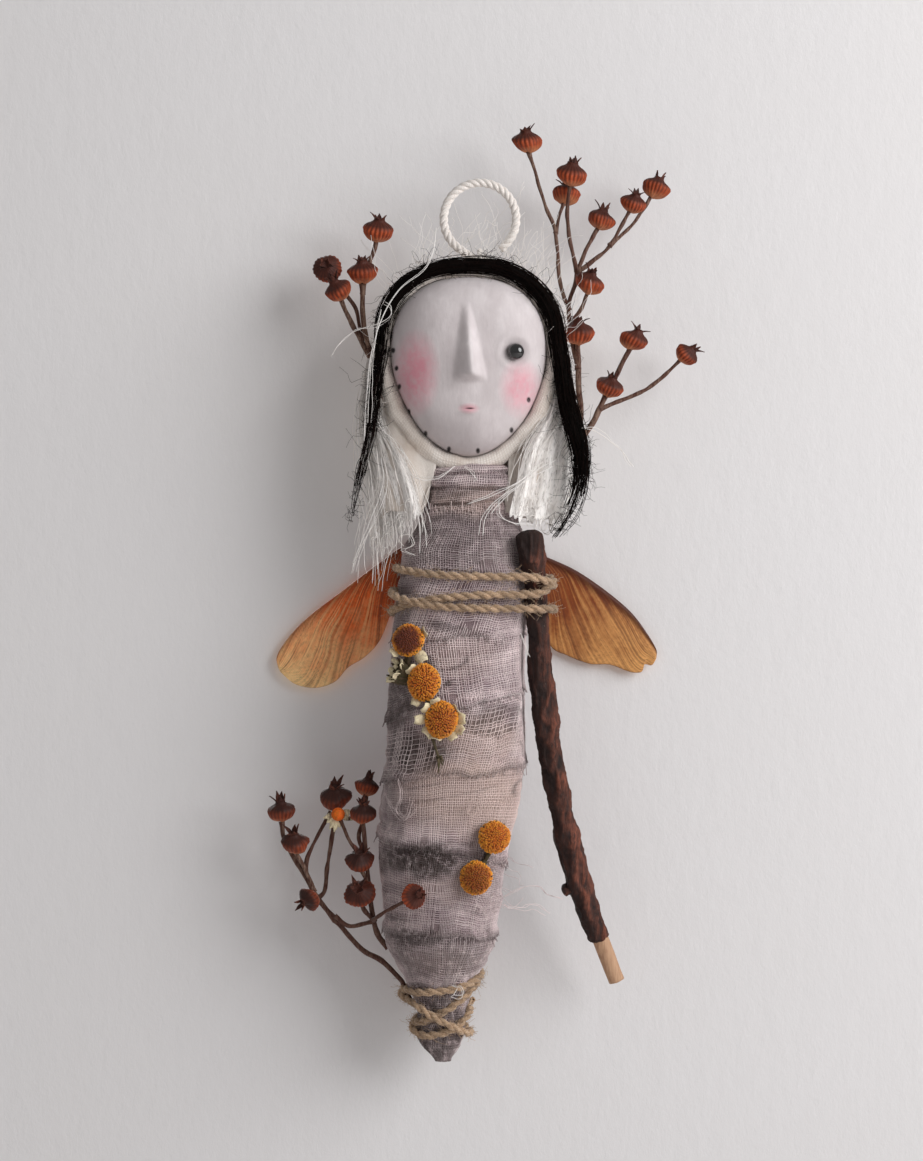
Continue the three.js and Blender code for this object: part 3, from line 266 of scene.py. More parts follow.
def new_piece(name, points, faces, tones):
    """Make a piece from points in millimetres and their faces, with each point's tone."""
    mesh = bpy.data.meshes.new(name)
    mesh.from_pydata((np.vstack(points) * MM).tolist(), [], faces)
    piece = bpy.data.objects.new(name, mesh)
    bpy.context.collection.objects.link(piece)
    write(piece, "tone", np.concatenate(tones))
    return piece


def settle(piece, body, slot, *nodes):
    """Let a finished piece ride on a body and hide the solids it stands for; the slot is not used."""
    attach(piece, body)
    if nodes:
        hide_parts(*nodes)


# Numbers along curves and over surfaces


def ease(share):
    share = np.clip(share, 0, 1)
    return share * share * (3 - 2 * share)


def noise(points, scale, seed=0.0):
    """Smooth noise from -1 to 1, with about one bump in each scale."""
    spot = np.asarray(points, dtype=float) / np.asarray(scale, dtype=float) + 31.7 + 13.3 * seed
    cell = np.floor(spot)
    within = spot - cell
    share = within ** 3 * (within * (within * 6 - 15) + 10)
    total = np.zeros(spot.shape[:-1])
    for corner in np.ndindex(2, 2, 2):
        at = cell + corner
        mixed = np.sin(at @ np.array([127.1, 311.7, 74.7])) * 43758.5453
        weight = np.prod(np.where(np.array(corner) == 1, share, 1 - share), axis=-1)
        total += weight * (2 * (mixed - np.floor(mixed)) - 1)
    return total


def xyz(*columns):
    """Points from their columns, such as x, y and z; a single number stands for a whole column."""
    return np.stack(np.broadcast_arrays(*columns), axis=-1)


def run_along(route):
    """How far along a route each of its points lies."""
    return np.concatenate([[0], np.cumsum(np.linalg.norm(np.diff(route[:, :3], axis=0), axis=1))])


def spaced(route, count):
    """Even points on the straight spans of a route; further columns such as radii come along."""
    run = run_along(route)
    at = np.linspace(0, run[-1], count)
    return np.stack([np.interp(at, run, column) for column in route.T], axis=1)


def at_share(table, share):
    """Rows between those of an even table, at shares of the way down it."""
    steps = np.linspace(0, 1, len(table))
    return np.stack([np.interp(share, steps, column) for column in table.T], axis=-1)


def resample(route, count):
    """Even points on a smooth curve through a route."""
    route = np.asarray(route, dtype=float)
    if len(route) == 2:
        return route[0] + np.linspace(0, 1, count)[:, None] * (route[1] - route[0])
    ends = np.vstack([2 * route[0] - route[1], route, 2 * route[-1] - route[-2]])
    share = np.linspace(0, 1, 24, endpoint=False)[:, None]
    spans = []
    for a, b, c, d in zip(ends, ends[1:], ends[2:], ends[3:]):
        bend = (2 * a - 5 * b + 4 * c - d) * share ** 2 + (3 * b - a - 3 * c + d) * share ** 3
        spans.append(b + ((c - a) * share + bend) / 2)
    return spaced(np.vstack([*spans, route[-1:]]), count)


def frames(routes):
    """Two directions across each point of many routes, which turn as little as they can."""
    along = np.gradient(routes, axis=1)
    along /= np.linalg.norm(along, axis=-1, keepdims=True) + 1e-12
    mean = np.abs(along).mean(axis=1)
    first = np.eye(3)[np.argmin(mean, axis=1)][:, None, :]
    side = first - along * np.sum(first * along, axis=-1, keepdims=True)
    side /= np.linalg.norm(side, axis=-1, keepdims=True) + 1e-12
    return side, np.cross(along, side)


def tubes(name, batches, sides=3):
    """Thin closed tubes along many routes, with a tone for each in the attribute 'tone'."""
    points, faces, tones, start = [], [], [], 0
    for routes, radii, tone in batches:
        routes = np.asarray(routes, dtype=float)
        count, steps = routes.shape[:2]
        radii = np.broadcast_to(np.asarray(radii, dtype=float), (count, steps))
        side, up = frames(routes)
        angle = TURN * np.arange(sides) / sides
        ring = np.cos(angle)[:, None] * side[:, :, None, :] + np.sin(angle)[:, None] * up[:, :, None, :]
        points.append((routes[:, :, None, :] + radii[:, :, None, None] * ring).reshape(-1, 3))
        tones.append(np.broadcast_to(np.reshape(tone, (-1, 1)), (count, steps * sides)).ravel())
        index = start + np.arange(count * steps * sides).reshape(count, steps, sides)
        after = np.roll(index, -1, axis=2)
        quads = np.stack([index[:, :-1], after[:, :-1], after[:, 1:], index[:, 1:]], axis=-1)
        faces += quads.reshape(-1, 4).tolist()
        faces += index[:, 0, ::-1].tolist() + index[:, -1].tolist()
        start += count * steps * sides
    return smooth(new_piece(name, points, faces, tones))


def turned(angle, side, up):
    """A direction turned by an angle from one side towards another."""
    return np.cos(angle) * side + np.sin(angle) * up


def rope(route, radius, plies, pitch, across=0.5):
    """Routes of the plies that twist round one route, and the radius of a ply."""
    steps = run_along(route)
    side, up = frames(route[None])
    routes = []
    for ply in range(plies):
        angle = (TURN * (steps / pitch + ply / plies))[:, None]
        routes.append(route + radius * across * turned(angle, side[0], up[0]))
    return np.array(routes), radius * (1 - across) * 1.12


def wander(rng, count, steps, reach, smoothing=5):
    """Soft random drift for many strands, nothing at the first point and growing from there."""
    drift = rng.normal(size=(count, steps, 3))
    kernel = np.hanning(smoothing + 2)[1:-1]
    kernel /= kernel.sum()
    drift = np.apply_along_axis(lambda row: np.convolve(row, kernel, "same"), 1, drift)
    drift = np.cumsum(drift, axis=1)
    drift -= drift[:, :1]
    return drift * reach / (np.abs(drift).max(axis=(1, 2), keepdims=True) + 1e-9)


# Finishes


class Finish:
    """A node material that is put together step by step."""

    def __init__(self, name, roughness=0.9, **sockets):
        self.material = bpy.data.materials.new(name)
        self.material.use_nodes = True
        self.tree = self.material.node_tree
        self.shader = self.tree.nodes["Principled BSDF"]
        self.shader.inputs["Roughness"].default_value = roughness
        for key, value in sockets.items():
            self.shader.inputs[key.replace("_", " ")].default_value = value

    def node(self, kind, settings=None, **inputs):
        node = self.tree.nodes.new("ShaderNode" + kind)
        for key, value in (settings or {}).items():
            setattr(node, key, value)
        for key, value in inputs.items():
            self.feed(node.inputs[int(key[1:]) if key[1:].isdigit() else key.replace("_", " ")], value)
        return node

    def feed(self, socket, value):
        if isinstance(value, bpy.types.NodeSocket):
            self.tree.links.new(value, socket)
        else:
            socket.default_value = value

    def where(self, kind="Object"):
        return self.node("TexCoord").outputs[kind]

    def attribute(self, name):
        return self.node("Attribute", {"attribute_name": name}).outputs["Fac"]

    def noise(self, spacing, detail=3.0, vector=None, roughness=0.6):
        """Noise from 0 to 1 whose bumps are the spacing apart, in millimetres."""
        spacing = np.broadcast_to(spacing, 3)
        unit = 1 / MM if vector is None else 1
        mapped = self.node("Mapping", Vector=vector or self.where(), Scale=[unit / s for s in spacing])
        return self.node("TexNoise", Vector=mapped.outputs[0], Scale=1.0, Detail=detail,
                         Roughness=roughness).outputs["Fac"]

    def spread(self, value, low, high, to_low=0.0, to_high=1.0):
        """Spread a part of a number's range over another range."""
        node = self.node("MapRange", i0=value, i1=low, i2=high, i3=to_low, i4=to_high)
        return node.outputs[0]

    def math(self, operation, a, b):
        return self.node("Math", {"operation": operation}, i0=a, i1=b).outputs[0]

    def times(self, a, b):
        return self.math("MULTIPLY", a, b)

    def mix(self, share, a, b):
        """One colour, and a share of another over it."""
        node = self.node("Mix", {"data_type": "RGBA"})
        self.feed(node.inputs[0], share)
        self.feed(node.inputs[6], colour(a) if isinstance(a, str) else a)
        self.feed(node.inputs[7], colour(b) if isinstance(b, str) else b)
        return node.outputs[2]

    def spot(self, centre, half, soft=0.35):
        """A soft ellipse of 1 on the front of a piece, round an x and z in millimetres."""
        (x, z), (wide, high) = centre, half
        mapped = self.node("Mapping", Vector=self.where(), Location=(-x / wide, 0, -z / high),
                           Scale=(1 / MM / wide, 0, 1 / MM / high))
        far = self.node("VectorMath", {"operation": "LENGTH"}, i0=mapped.outputs[0]).outputs["Value"]
        return self.spread(far, 1 + soft, 1 - soft)

    def bump(self, height, distance, strength=1.0):
        """Raise the surface by a distance in millimetres where the height is 1."""
        last = self.shader.inputs["Normal"].links
        node = self.node("Bump", Height=height, Distance=distance * MM, Strength=strength)
        if last:
            self.tree.links.new(last[0].from_socket, node.inputs["Normal"])
        self.tree.links.new(node.outputs[0], self.shader.inputs["Normal"])

    def done(self, base, **sockets):
        self.feed(self.shader.inputs["Base Color"], base)
        for key, value in sockets.items():
            self.feed(self.shader.inputs[key.replace("_", " ")], value)
        return self.material


# Body: the outline of the wound strips going down, as z, left x, right x, front y and back y
STATIONS = np.array([
    [-58, -10.5, 7.0, -10, 8], [-66, -12.2, 8.0, -11, 8], [-73, -12.5, 8.2, -11, 8],
    [-76, -14.0, 9.0, -12, 8.5], [-80, -17.0, 10.0, -13, 9], [-87, -17.6, 10.2, -13.5, 9],
    [-95.5, -18.6, 10.2, -14, 9], [-113, -20.2, 10.4, -14.5, 11.5], [-126, -20.5, 9.9, -14.5, 13.5],
    [-135, -21.8, 8.8, -14.5, 15.5], [-148, -22.4, 5.7, -13.5, 15.5], [-157, -21.3, 4.4, -12.5, 15.5],
    [-167, -20.7, 3.3, -11, 12.5], [-171, -18.4, 1.0, -9, 10.5], [-175, -16.2, -1.4, -7, 8.5],
    [-182, -13.2, -3.2, -5, 6.5], [-186, -14.0, -3.6, -4.6, 6], [-189.5, -12.6, -4.6, -3, 4.5],
    [-192.7, -9.6, -6.6, -1, 2],
])
SQUARENESS = 2.3
WALL_PLANE = 14.0
HEIGHTS = np.arange(-196.0, -54.0, 0.25)
# Room between a laid-on piece and what it lies on
SEAT = 0.35
# Wadding: its foot, its height and its depth below the strips; then the strips' weave, step and frays
WADDING_FOOT, WADDING_TALL, WADDING_DEPTH = -173.4, 107.2, 3.6
STRIP_WEAVE, CLOTH_STEP, FRAY_RADIUS = 0.45, 0.55, 0.055


def softened(row):
    kernel = np.hanning(13)[1:-1]
    return np.convolve(np.pad(row, 5, mode="edge"), kernel / kernel.sum(), "valid")


EDGES = [softened(np.interp(HEIGHTS, STATIONS[::-1, 0], STATIONS[::-1, i])) for i in range(1, 5)]


def section(z):
    """Middle x and y, half width and half depth of the body at a height."""
    left, right, front, back = (np.interp(z, HEIGHTS, edge) for edge in EDGES)
    return (left + right) / 2, (front + back) / 2, (right - left) / 2, (back - front) / 2


def around(z, angle, lift):
    """The place on the body whose outward direction is the angle, moved out by a lift."""
    z, angle, lift = np.broadcast_arrays(z, angle, lift)
    x, y, wide, deep = section(z)
    c, s = np.cos(angle), np.sin(angle)
    power = SQUARENESS / (SQUARENESS - 1)
    reach = (np.abs(wide * c) ** power + np.abs(deep * s) ** power) ** (1 / power)
    x = x + np.sign(c) * wide * np.abs(wide * c / reach) ** (power - 1) + lift * c
    y = y + np.sign(s) * deep * np.abs(deep * s / reach) ** (power - 1) + lift * s
    return xyz(x, np.minimum(y, WALL_PLANE + np.minimum(lift, 0)), z)


def on_front(x, z, lift):
    """The front of the body at a place in the front view, moved out by a lift."""
    middle, y, wide, deep = section(z)
    share = np.minimum(np.abs((x - middle) / wide), 0.98) ** SQUARENESS
    depth = y - deep * (1 - share) ** (1 / SQUARENESS) - lift
    return xyz(x, depth, z)


def girth(z):
    ring = around(z, np.linspace(0, TURN, 181), 0.0)
    return np.linalg.norm(np.diff(ring, axis=0), axis=1).sum()


# Way round the body at its waist, from the middle of its back
WAIST = -113.0
TURN_ANGLES = np.linspace(0, TURN, 721) + math.pi / 2
TURN_RUN = run_along(around(WAIST, TURN_ANGLES, 0.0))


def turn_angle(share):
    """Angle at an even share of the way round the body, from the middle of its back."""
    return np.interp(share % 1.0, TURN_RUN / TURN_RUN[-1], TURN_ANGLES)


# Strips: top z and its rise to the right, foot z and its rise, how far each edge stands out,
# depth of the creases, most lift, and how far the threads lean
STRIPS = {
    "neck_wrap": (-60.8, 0, -74.6, 0, -2.6, -0.7, 0.95, 0.9, 0.12),
    "shoulder_wrap": (-72.0, 0.2, -85.4, -0.5, 0.5, 0.2, 0.4, 0.55, -0.06),
    "chest_wrap": (-83.2, -0.5, -99.0, 1, -0.6, 0.3, 0.32, 0.32, 0.3),
    "upper_waist_wrap": (-96.4, 1, -114.0, 3, -0.6, 0.5, 0.4, 0.55, -0.16),
    "lower_waist_wrap": (-110.6, 3, -128.4, 2, -0.6, 0.45, 0.45, 0.55, 0.2),
    "belly_wrap": (-125.6, 2, -145.6, -3, -0.6, 0.5, 0.5, 0.55, -0.08),
    "hip_wrap": (-142.2, -3, -164.8, -1, -0.6, 0.5, 0.55, 0.55, 0.12),
    "shin_wrap": (-161.4, -1, -175.6, 0, -0.6, 0.2, 0.4, 0.45, 0.06),
    "tail_wrap": (-172.6, 0, -192.7, 0, -0.6, 0, 0.3, 0.3, 0.2),
}
# Stains on the front of the strips, with painted shade in some rows (the thin dark lines in the neck folds
# and under overlapping strip edges, and the tall patches down the body's left side): x, z, half width, half
# height and strength
STAINS_AND_SHADE = [
    (-3, -63.6, 9, 0.5, 0.4), (-2, -69.8, 9, 0.5, 0.45), (-3, -73.2, 9, 0.9, 0.65), (-6, -67.3, 8, 0.9, 0.5),
    (-13, -77, 4.5, 2.2, 0.75), (2, -74.5, 6, 1, 0.45), (-10.2, -104.8, 0.9, 0.8, 1),
    (-7.5, -109.4, 0.9, 0.7, 0.9), (-14.6, -123.4, 6.5, 3.6, 1), (4.2, -115.2, 5.5, 1.2, 0.6),
    (-1, -117.5, 4, 1, 0.4), (-12, -147, 8.5, 3.6, 1), (0, -146.6, 4, 1.6, 0.5), (-13, -164.8, 7, 1.8, 0.85),
    (-2, -166.5, 4, 1.2, 0.5), (-18.5, -140, 3, 6, 0.35), (-18, -94, 3, 7, 0.6), (-18.6, -114, 3.4, 8, 0.75),
    (-20, -130, 2.2, 6, 0.5), (3.5, -154, 3, 5, 0.3), (-12, -185.5, 4, 2.2, 0.7), (-8, -191, 2.5, 1.5, 0.6),
    (-3.5, -79, 14, 5, 0.55), (-8, -168, 13, 6, 0.6),
    (-8.6, -185, 7, 9, 0.85), (-12.4, -186.5, 3, 2.4, 1), (-9, -157, 13, 6, 0.14), (-19, -104, 3, 10, 0.4),
]
# Long threads torn from the strips, by their points
TORN_THREADS = [
    [(5, -11, -155.4), (8.6, -11.6, -153.2), (12.6, -11, -152.8), (14.6, -10.4, -154.4), (18, -9.8, -155.4)],
    [(4.6, -11, -157), (9, -11.4, -158), (12, -10.8, -157.4), (14.6, -10.2, -159)],
    [(-20.6, -8, -133.6), (-19, -10.6, -136.4), (-17.2, -12.4, -138.2), (-15.6, -13.4, -137.6),
     (-14.6, -14, -134)],
    [(-17.8, -11.4, -129.6), (-17, -12.4, -133), (-17.6, -12.2, -136.6), (-15.8, -13.4, -138.4),
     (-14.4, -14.2, -136.6)],
    [(-2.8, -15.2, -137.2), (-1.6, -15.4, -134), (-0.2, -15.4, -135.2), (-1, -15.3, -137.4),
     (-3.4, -15.2, -136.4)],
]
# Folds across the neck: height at its middle and slope
NECK_FOLDS = [(-63.6, 0.04), (-66.8, -0.05), (-69.8, 0.07), (-72.4, -0.02)]
# Places where the weave has opened to a net, and undyed places, written as the stains are
NETS = [(-15.8, -123.4, 6, 4.4, 1), (3, -117.6, 6.5, 2.4, 0.7)]
BARE = [(-3, -132.5, 12, 8, 1.0), (-1, -121, 9, 4.5, 0.7), (3, -138, 7, 5, 0.9), (-4, -103, 7, 4, 0.35),
        (-3, -69.5, 8, 3, 0.8), (-9, -153, 6, 3, 0.35), (-8, -170, 6, 3, 0.35)]


def blotches(points, rows):
    """How strongly a place lies in any of the spots, with uneven borders."""
    x, y, z = np.moveaxis(points, -1, 0)
    x = x + 1.6 * noise(points, 4.0, 1)
    z = z + 1.2 * noise(points, 3.0, 2)
    total = np.zeros(x.shape)
    for across, height, wide, high, strength in rows:
        far = np.hypot((x - across) / wide, (z - height) / high)
        total = np.maximum(total, strength * ease(1.6 - far) * (y < 4))
    return total


def creases(name, points):
    """How far a place on a strip is from the bottom of a crease, which lies where this is 0."""
    seed = list(STRIPS).index(name)
    leaning = points[..., :1] * np.array([0, 0, 0.2 * (-1) ** seed])
    return noise(points + leaning, (17, 17, 3.6), seed)


def dye(piece, name, share=1.0):
    """Store the stains and painted shade, and the bare places, at each point of a strip's cloth or threads.
    The painted shade is a dark line along the bottom of every crease, added to the shade rows of the table of
    stains; the back gets more random stains.
    """
    points = raw_points(piece) / MM
    behind = 0.5 * ease(2.2 * noise(points, (9, 9, 6), 9)) * (points[:, 1] > 2)
    # Painted shade: a dark line along the bottom of every crease
    crease_shade = np.exp(-(creases(name, points) / 0.075) ** 2) * ease(0.55 + 1.4 * noise(points, (9, 9, 4), 12))
    stains = np.maximum(np.maximum(blotches(points, STAINS_AND_SHADE), behind), 0.62 * crease_shade)
    nets = blotches(points, NETS)
    write(piece, "stained_and_shaded", np.maximum(stains, nets) if share == 1 else share * stains * (1 - 0.65 * nets))
    write(piece, "bare", blotches(points, BARE))


def in_staff_way(points):
    """How far a place stands in the way of the staff, at rest or rocked in as far as it goes."""
    short = np.full(points.shape[:-1], -9.0)
    way = STAFF_LINE[:, :3] - LASHING
    for tilt in (0.0, math.radians(STAFF_TILT)):
        x = LASHING[0] + way[:, 0] * math.cos(tilt) + way[:, 2] * math.sin(tilt)
        z = LASHING[2] - way[:, 0] * math.sin(tilt) + way[:, 2] * math.cos(tilt)
        across, depth, radius = (np.interp(-points[..., 2], -z, column)
                                 for column in (x, STAFF_LINE[:, 1], STAFF_LINE[:, 3]))
        behind = points[..., 1] - depth
        far = np.hypot(points[..., 0] - across, np.where(behind > 0, 0.3 * behind, behind))
        short = np.maximum(short, radius + STAFF_HOLLOW - far)
    short = (short + np.hypot(short, STAFF_HOLLOW)) / 2
    return short * ease((LASHING[2] - 3.0 - points[..., 2]) / 6.0)


def strip_point(name, turn, share, lift=0.0):
    """A place on a strip, at a share of the way round it and of its height from its foot."""
    top, top_rise, foot, foot_rise, top_lift, foot_lift, fold, most, _ = STRIPS[name]
    seed = list(STRIPS).index(name)
    angle = turn_angle(turn)
    rim = around(foot + 0 * angle, angle, 0.0)
    low = foot + foot_rise * np.cos(angle) + 1.2 * noise(rim, 8.0, seed) + 0.3 * noise(rim, 1.1, seed + 3)
    high = top + top_rise * np.cos(angle) + 0.6 * noise(rim, 5.0, seed + 5)
    if name == "tail_wrap":
        low = foot + 0 * angle
    z = low + (high - low) * share
    base = around(z, angle, 0.0)
    crease = 2.4 * np.abs(creases(name, base)) - 0.7
    ripple = noise(base, (5, 5, 1.5), seed + 7)
    raised = fold * (0.6 * crease + 0.4 * ripple)
    from_foot, from_top = (z - low), (high - z)
    raised += foot_lift * (1 - ease(from_foot / 2.4)) + top_lift * (1 - ease(from_top / 2.2))
    if name == "tail_wrap":
        raised += 0.35 * np.sin(7 * angle + 0.35 * z) * ease(share * 3)
    if name == "neck_wrap":
        for height, slope in NECK_FOLDS:
            below = z - height - slope * base[..., 0] - 0.5 * noise(base, 4.0, 21)
            raised += 0.5 * np.exp(-((below - 0.9) / 0.8) ** 2) - 0.9 * np.exp(-(below / 0.45) ** 2)
    raised = np.minimum(raised, most)
    return around(z, angle, raised - 1.15 * in_staff_way(around(z, angle, raised)) + lift)


def strip_finish(name, around_mm, height):
    """Dyed cloth: patchy mauve, undyed places, dark stains with painted shade, and a fine weave with painted
    shade in its gaps.
    """
    cloth = Finish(name + "_cloth", 0.95, Sheen_Weight=0.25, Sheen_Roughness=0.6, Specular_IOR_Level=0.15)
    patches = cloth.spread(cloth.noise((9, 9, 5), 4), 0.32, 0.68)
    base = cloth.mix(patches, "mauve_dark", "mauve_light")
    base = cloth.mix(cloth.attribute("bare"), base, "beige")
    grain = cloth.noise(1.1, 4)
    stain = cloth.times(cloth.attribute("stained_and_shaded"), cloth.spread(grain, 0.3, 0.6, 0.35, 1))
    base = cloth.mix(stain, base, "stain")
    uv = cloth.node("Mapping", Vector=cloth.where("UV"), Scale=(around_mm, height, 1)).outputs[0]
    threads = []
    for direction in ("X", "Y"):
        wave = cloth.node("TexWave", {"bands_direction": direction}, Vector=uv, Scale=WAVE / STRIP_WEAVE,
                          Distortion=0.6, Detail=1.0, Detail_Scale=2.0)
        threads.append(wave.outputs["Fac"])
    weave = cloth.times(*threads)
    # Painted shade: the cloth under the threads is darkened all over, and more in the gaps of the weave
    base = cloth.mix(cloth.spread(weave, 0.0, 0.35, 0.5, 0.26), base, "stain")
    cloth.bump(weave, 0.12, 0.8)
    cloth.bump(grain, 0.15, 0.5)
    return cloth.done(base)


def thread_finish(name, pale, deep):
    """Spun thread, each with its own tone, darkened by the same stains and painted shade as the cloth, and
    with painted shade near the foot of each strip.
    """
    thread = Finish(name, 0.92, Sheen_Weight=0.3, Sheen_Roughness=0.5, Specular_IOR_Level=0.2)
    base = thread.mix(thread.attribute("tone"), deep, pale)
    base = thread.mix(thread.spread(thread.noise((9, 9, 5), 4), 0.36, 0.6, 0.42, 0), base, "mauve_dark")
    base = thread.mix(thread.times(thread.attribute("bare"), 0.6), base, "beige")
    stain = thread.times(thread.attribute("stained_and_shaded"), thread.spread(thread.noise(1.4, 3), 0.2, 0.52))
    base = thread.mix(stain, base, "stain")
    # Painted shade: the threads darken near the foot of each strip, where it lies over the strip below
    base = thread.mix(thread.spread(thread.attribute("edge"), 0.0, 0.07, 0.5, 0), base, "stain")
    thread.bump(thread.noise(0.25, 2), 0.06, 0.6)
    return thread.done(base)


def strip_threads(name, rng):
    """Single threads of a strip, woven over and under, with frayed ends at its foot."""
    top, _, foot, _, _, _, _, _, lean = STRIPS[name]
    pitch, radius = size("thread_pitch"), size("thread_radius")
    tall, round_mm = top - foot, girth((top + foot) / 2)
    columns, rows = 2 * int(round_mm / pitch / 2), int(tall / pitch)
    column, row = np.arange(columns + 1), np.arange(rows)
    over = np.where((column[None, :] + row[:, None]) % 2, 1, -1) * radius * 0.6

    turn = np.broadcast_to(column / columns, (rows, columns + 1))
    share = ((row + 0.5 + rng.uniform(-0.2, 0.2, rows)) / rows)[:, None]
    places = xyz(turn * round_mm, share * tall, 0)
    share = share + 0.32 / rows * noise(places, (6, 1.6, 1), 3)
    worn = ease(2.5 * noise(places, (7, 2.2, 1), 4) - 1.3)
    opened = rng.uniform(0, 1, rows) + 0.62 * (row % 2) > 0.88
    sunk = np.maximum(worn, blotches(strip_point(name, turn, share), NETS) * opened[:, None])
    heights = share.ravel()
    across = strip_point(name, turn, share, radius * 0.7 + over - 3.4 * radius * sunk)

    fray = np.minimum(rng.exponential(0.4, columns) + 0.1, 0.15 if name == "tail_wrap" else 2.2) / tall
    ends = np.array([-1, -0.6, -0.25])
    share = np.concatenate([ends * fray[:, None], np.broadcast_to((row + 0.5) / rows, (columns, rows)),
                            np.full((columns, 1), 1.01)], axis=1)
    turn = (column[:-1, None] / columns + lean * share * tall / round_mm
            + rng.uniform(-0.2, 0.2, (columns, 1)) / columns)
    drift = rng.normal(0, 0.9, (columns, 1)) * np.maximum(-share, 0) * tall / round_mm
    places = xyz(turn * round_mm, share * tall, 0)
    turn = turn + drift + 0.32 / columns * noise(places, (1.6, 6, 1), 5)
    worn = ease(2.5 * noise(places, (2.2, 7, 1), 6) - 1.3)
    opened = rng.uniform(0, 1, columns) + 0.62 * (column[:-1] % 2) > 0.88
    sunk = np.maximum(worn, blotches(strip_point(name, turn, share), NETS) * opened[:, None])
    lifts = np.pad(-over.T[:-1], ((0, 0), (3, 1)), mode="edge") - 3.4 * radius * sunk
    lifts = lifts + rng.uniform(0.1, 0.6, (columns, 1)) * np.maximum(-share, 0) * tall
    if name == "shoulder_wrap":
        share[:, -1] += np.minimum(rng.exponential(0.9, columns), 3) / tall
        lifts[:, -1] += 0.15
    along = strip_point(name, turn, share, radius * 0.7 + lifts)
    net = tubes(name + "_threads", [
        (across, radius, rng.uniform(0, 1, rows)), (along, radius, rng.uniform(0, 1, columns))])
    write(net, "edge", np.repeat(np.concatenate([heights, share.ravel()]), 3))
    return net


class DOLL_OT_body(Operator):
    """Model the wadding and the wound gauze strips of the body"""
    bl_idname = "doll.body"
    bl_label = "Body strips"

    def execute(self, context):
        rng = np.random.default_rng(SEED)
        wadding, turn, share = grid("wadding", 48, 90)
        z = WADDING_FOOT + WADDING_TALL * share
        middle = xyz(*section(z)[:2], z)
        skin = around(z, turn_angle(turn), -WADDING_DEPTH)
        lumps = 1 + 0.05 * noise(skin, (9, 9, 3), 2) - 0.03 * np.abs(noise(skin, 2.2, 3))
        closing = np.sqrt(np.clip(np.minimum(share, 1 - share) / 0.02, 0, 1))
        place(wadding, middle + (skin - middle) * (0.95 * lumps * closing)[:, None])
        close_seam(wadding)
        soft = Finish("wadding", 1.0, Sheen_Weight=0.4)
        fibres = soft.noise((1.2, 1.2, 0.35), 6)
        soft.bump(fibres, 0.4)
        paint(smooth(wadding), soft.done(soft.mix(fibres, "cotton_shade", "stuffing")))
        settle(wadding, "doll", "stuffing", "body_padding")

        wood = Finish("stick_wood", 0.75)
        grain = wood.noise((0.5, 0.5, 14), 5)
        wood.bump(grain, 0.1)
        paint(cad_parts["core_stick"], wood.done(wood.mix(grain, "jute_dark", "stick")))

        threads = thread_finish("strip_thread", "strip_thread", "mauve_light")
        for name, row in STRIPS.items():
            tall, round_mm = row[0] - row[2], girth((row[0] + row[2]) / 2)
            cloth, turn, share = grid(name + "_cloth", 160, int(tall / CLOTH_STEP))
            place(cloth, strip_point(name, turn, share))
            close_seam(cloth)
            dye(cloth, name)
            thicken(cloth, size("strip_thickness"))
            paint(smooth(cloth), strip_finish(name, round_mm, tall))
            net = strip_threads(name, rng)
            dye(net, name, 0.92)
            paint(net, threads)
            slot = "beige_gauze" if name == "belly_wrap" else "mauve_gauze"
            settle(cloth, "doll", slot, name)
            settle(net, "doll", slot)

        count = 130
        z = rng.uniform(-159, -145.5, count)
        foot = on_front(section(z)[0] + section(z)[2] * rng.uniform(0.55, 0.97, count), z, 0.3)
        reach = np.minimum(rng.exponential(1.8, count) + 0.8, 7.5)[:, None, None]
        way = xyz(rng.uniform(-0.1, 1, count), rng.uniform(-0.5, 0, count), rng.uniform(-0.9, 0.4, count))
        step = np.linspace(0, 1, 12)[None, :, None]
        torn = foot[:, None] + reach * step * way[:, None] + wander(rng, count, 12, 1.0, 4) * reach * 0.45
        long = np.array([resample(route, 40) for route in TORN_THREADS])
        long = np.vstack([long + wander(rng, len(long), 40, 0.7, 5) for _ in range(3)])
        fray = tubes("hip_fray", [(torn, FRAY_RADIUS, rng.uniform(0, 1, count)), (long, FRAY_RADIUS, 0.9)])
        dye(fray, "hip_wrap", 0.6)
        write(fray, "edge", np.ones(len(fray.data.vertices)))
        paint(fray, threads)
        settle(fray, "doll", "mauve_gauze")
        return {"FINISHED"}


# Head
HEAD = np.array([-2.5, -5.0, -36.0])
HEAD_HALF_WIDTH, HEAD_CROWN, HEAD_JAW = 17.0, 15.5, 23.8
CROWN_POWER, JAW_POWER, FACE_POWER, SKULL_POWER = 2.3, 1.85, 2.4, 3.0
FACE_DEPTH, SKULL_DEPTH = 12.0, 10.0
NOSE_TOP, NOSE_TIP, NOSE_HEIGHT = (-3.0, -26.6), (-1.8, -42.9), 4.0
NOSE_LEFT, NOSE_RIGHT = 4.4, 3.4
EYE, EYE_RADIUS, EYE_SUNK, SOCKET_RADIUS = (7.6, -37.6), 1.8, 1.1, 3.6
MOUTH = (-2.5, -49.8)
JAW_DOTS = [(-18.9, -36.8), (-18.2, -40.7), (-17.6, -44.6), (-15.6, -50.0), (-11.9, -54.8), (-6.8, -58.2),
            (-0.5, -58.6), (6.8, -54.1), (10.5, -47.6)]
HOOD_RIM = -6.0


def head_reach(angle, grow):
    """Distance from the head's centre to its front outline in a direction."""
    c, s = np.cos(angle), np.sin(angle)
    power = np.where(s > 0, CROWN_POWER, JAW_POWER)
    height = np.where(s > 0, HEAD_CROWN, HEAD_JAW) + grow
    return (np.abs(c / (HEAD_HALF_WIDTH + grow)) ** power + np.abs(s / height) ** power) ** (-1 / power)


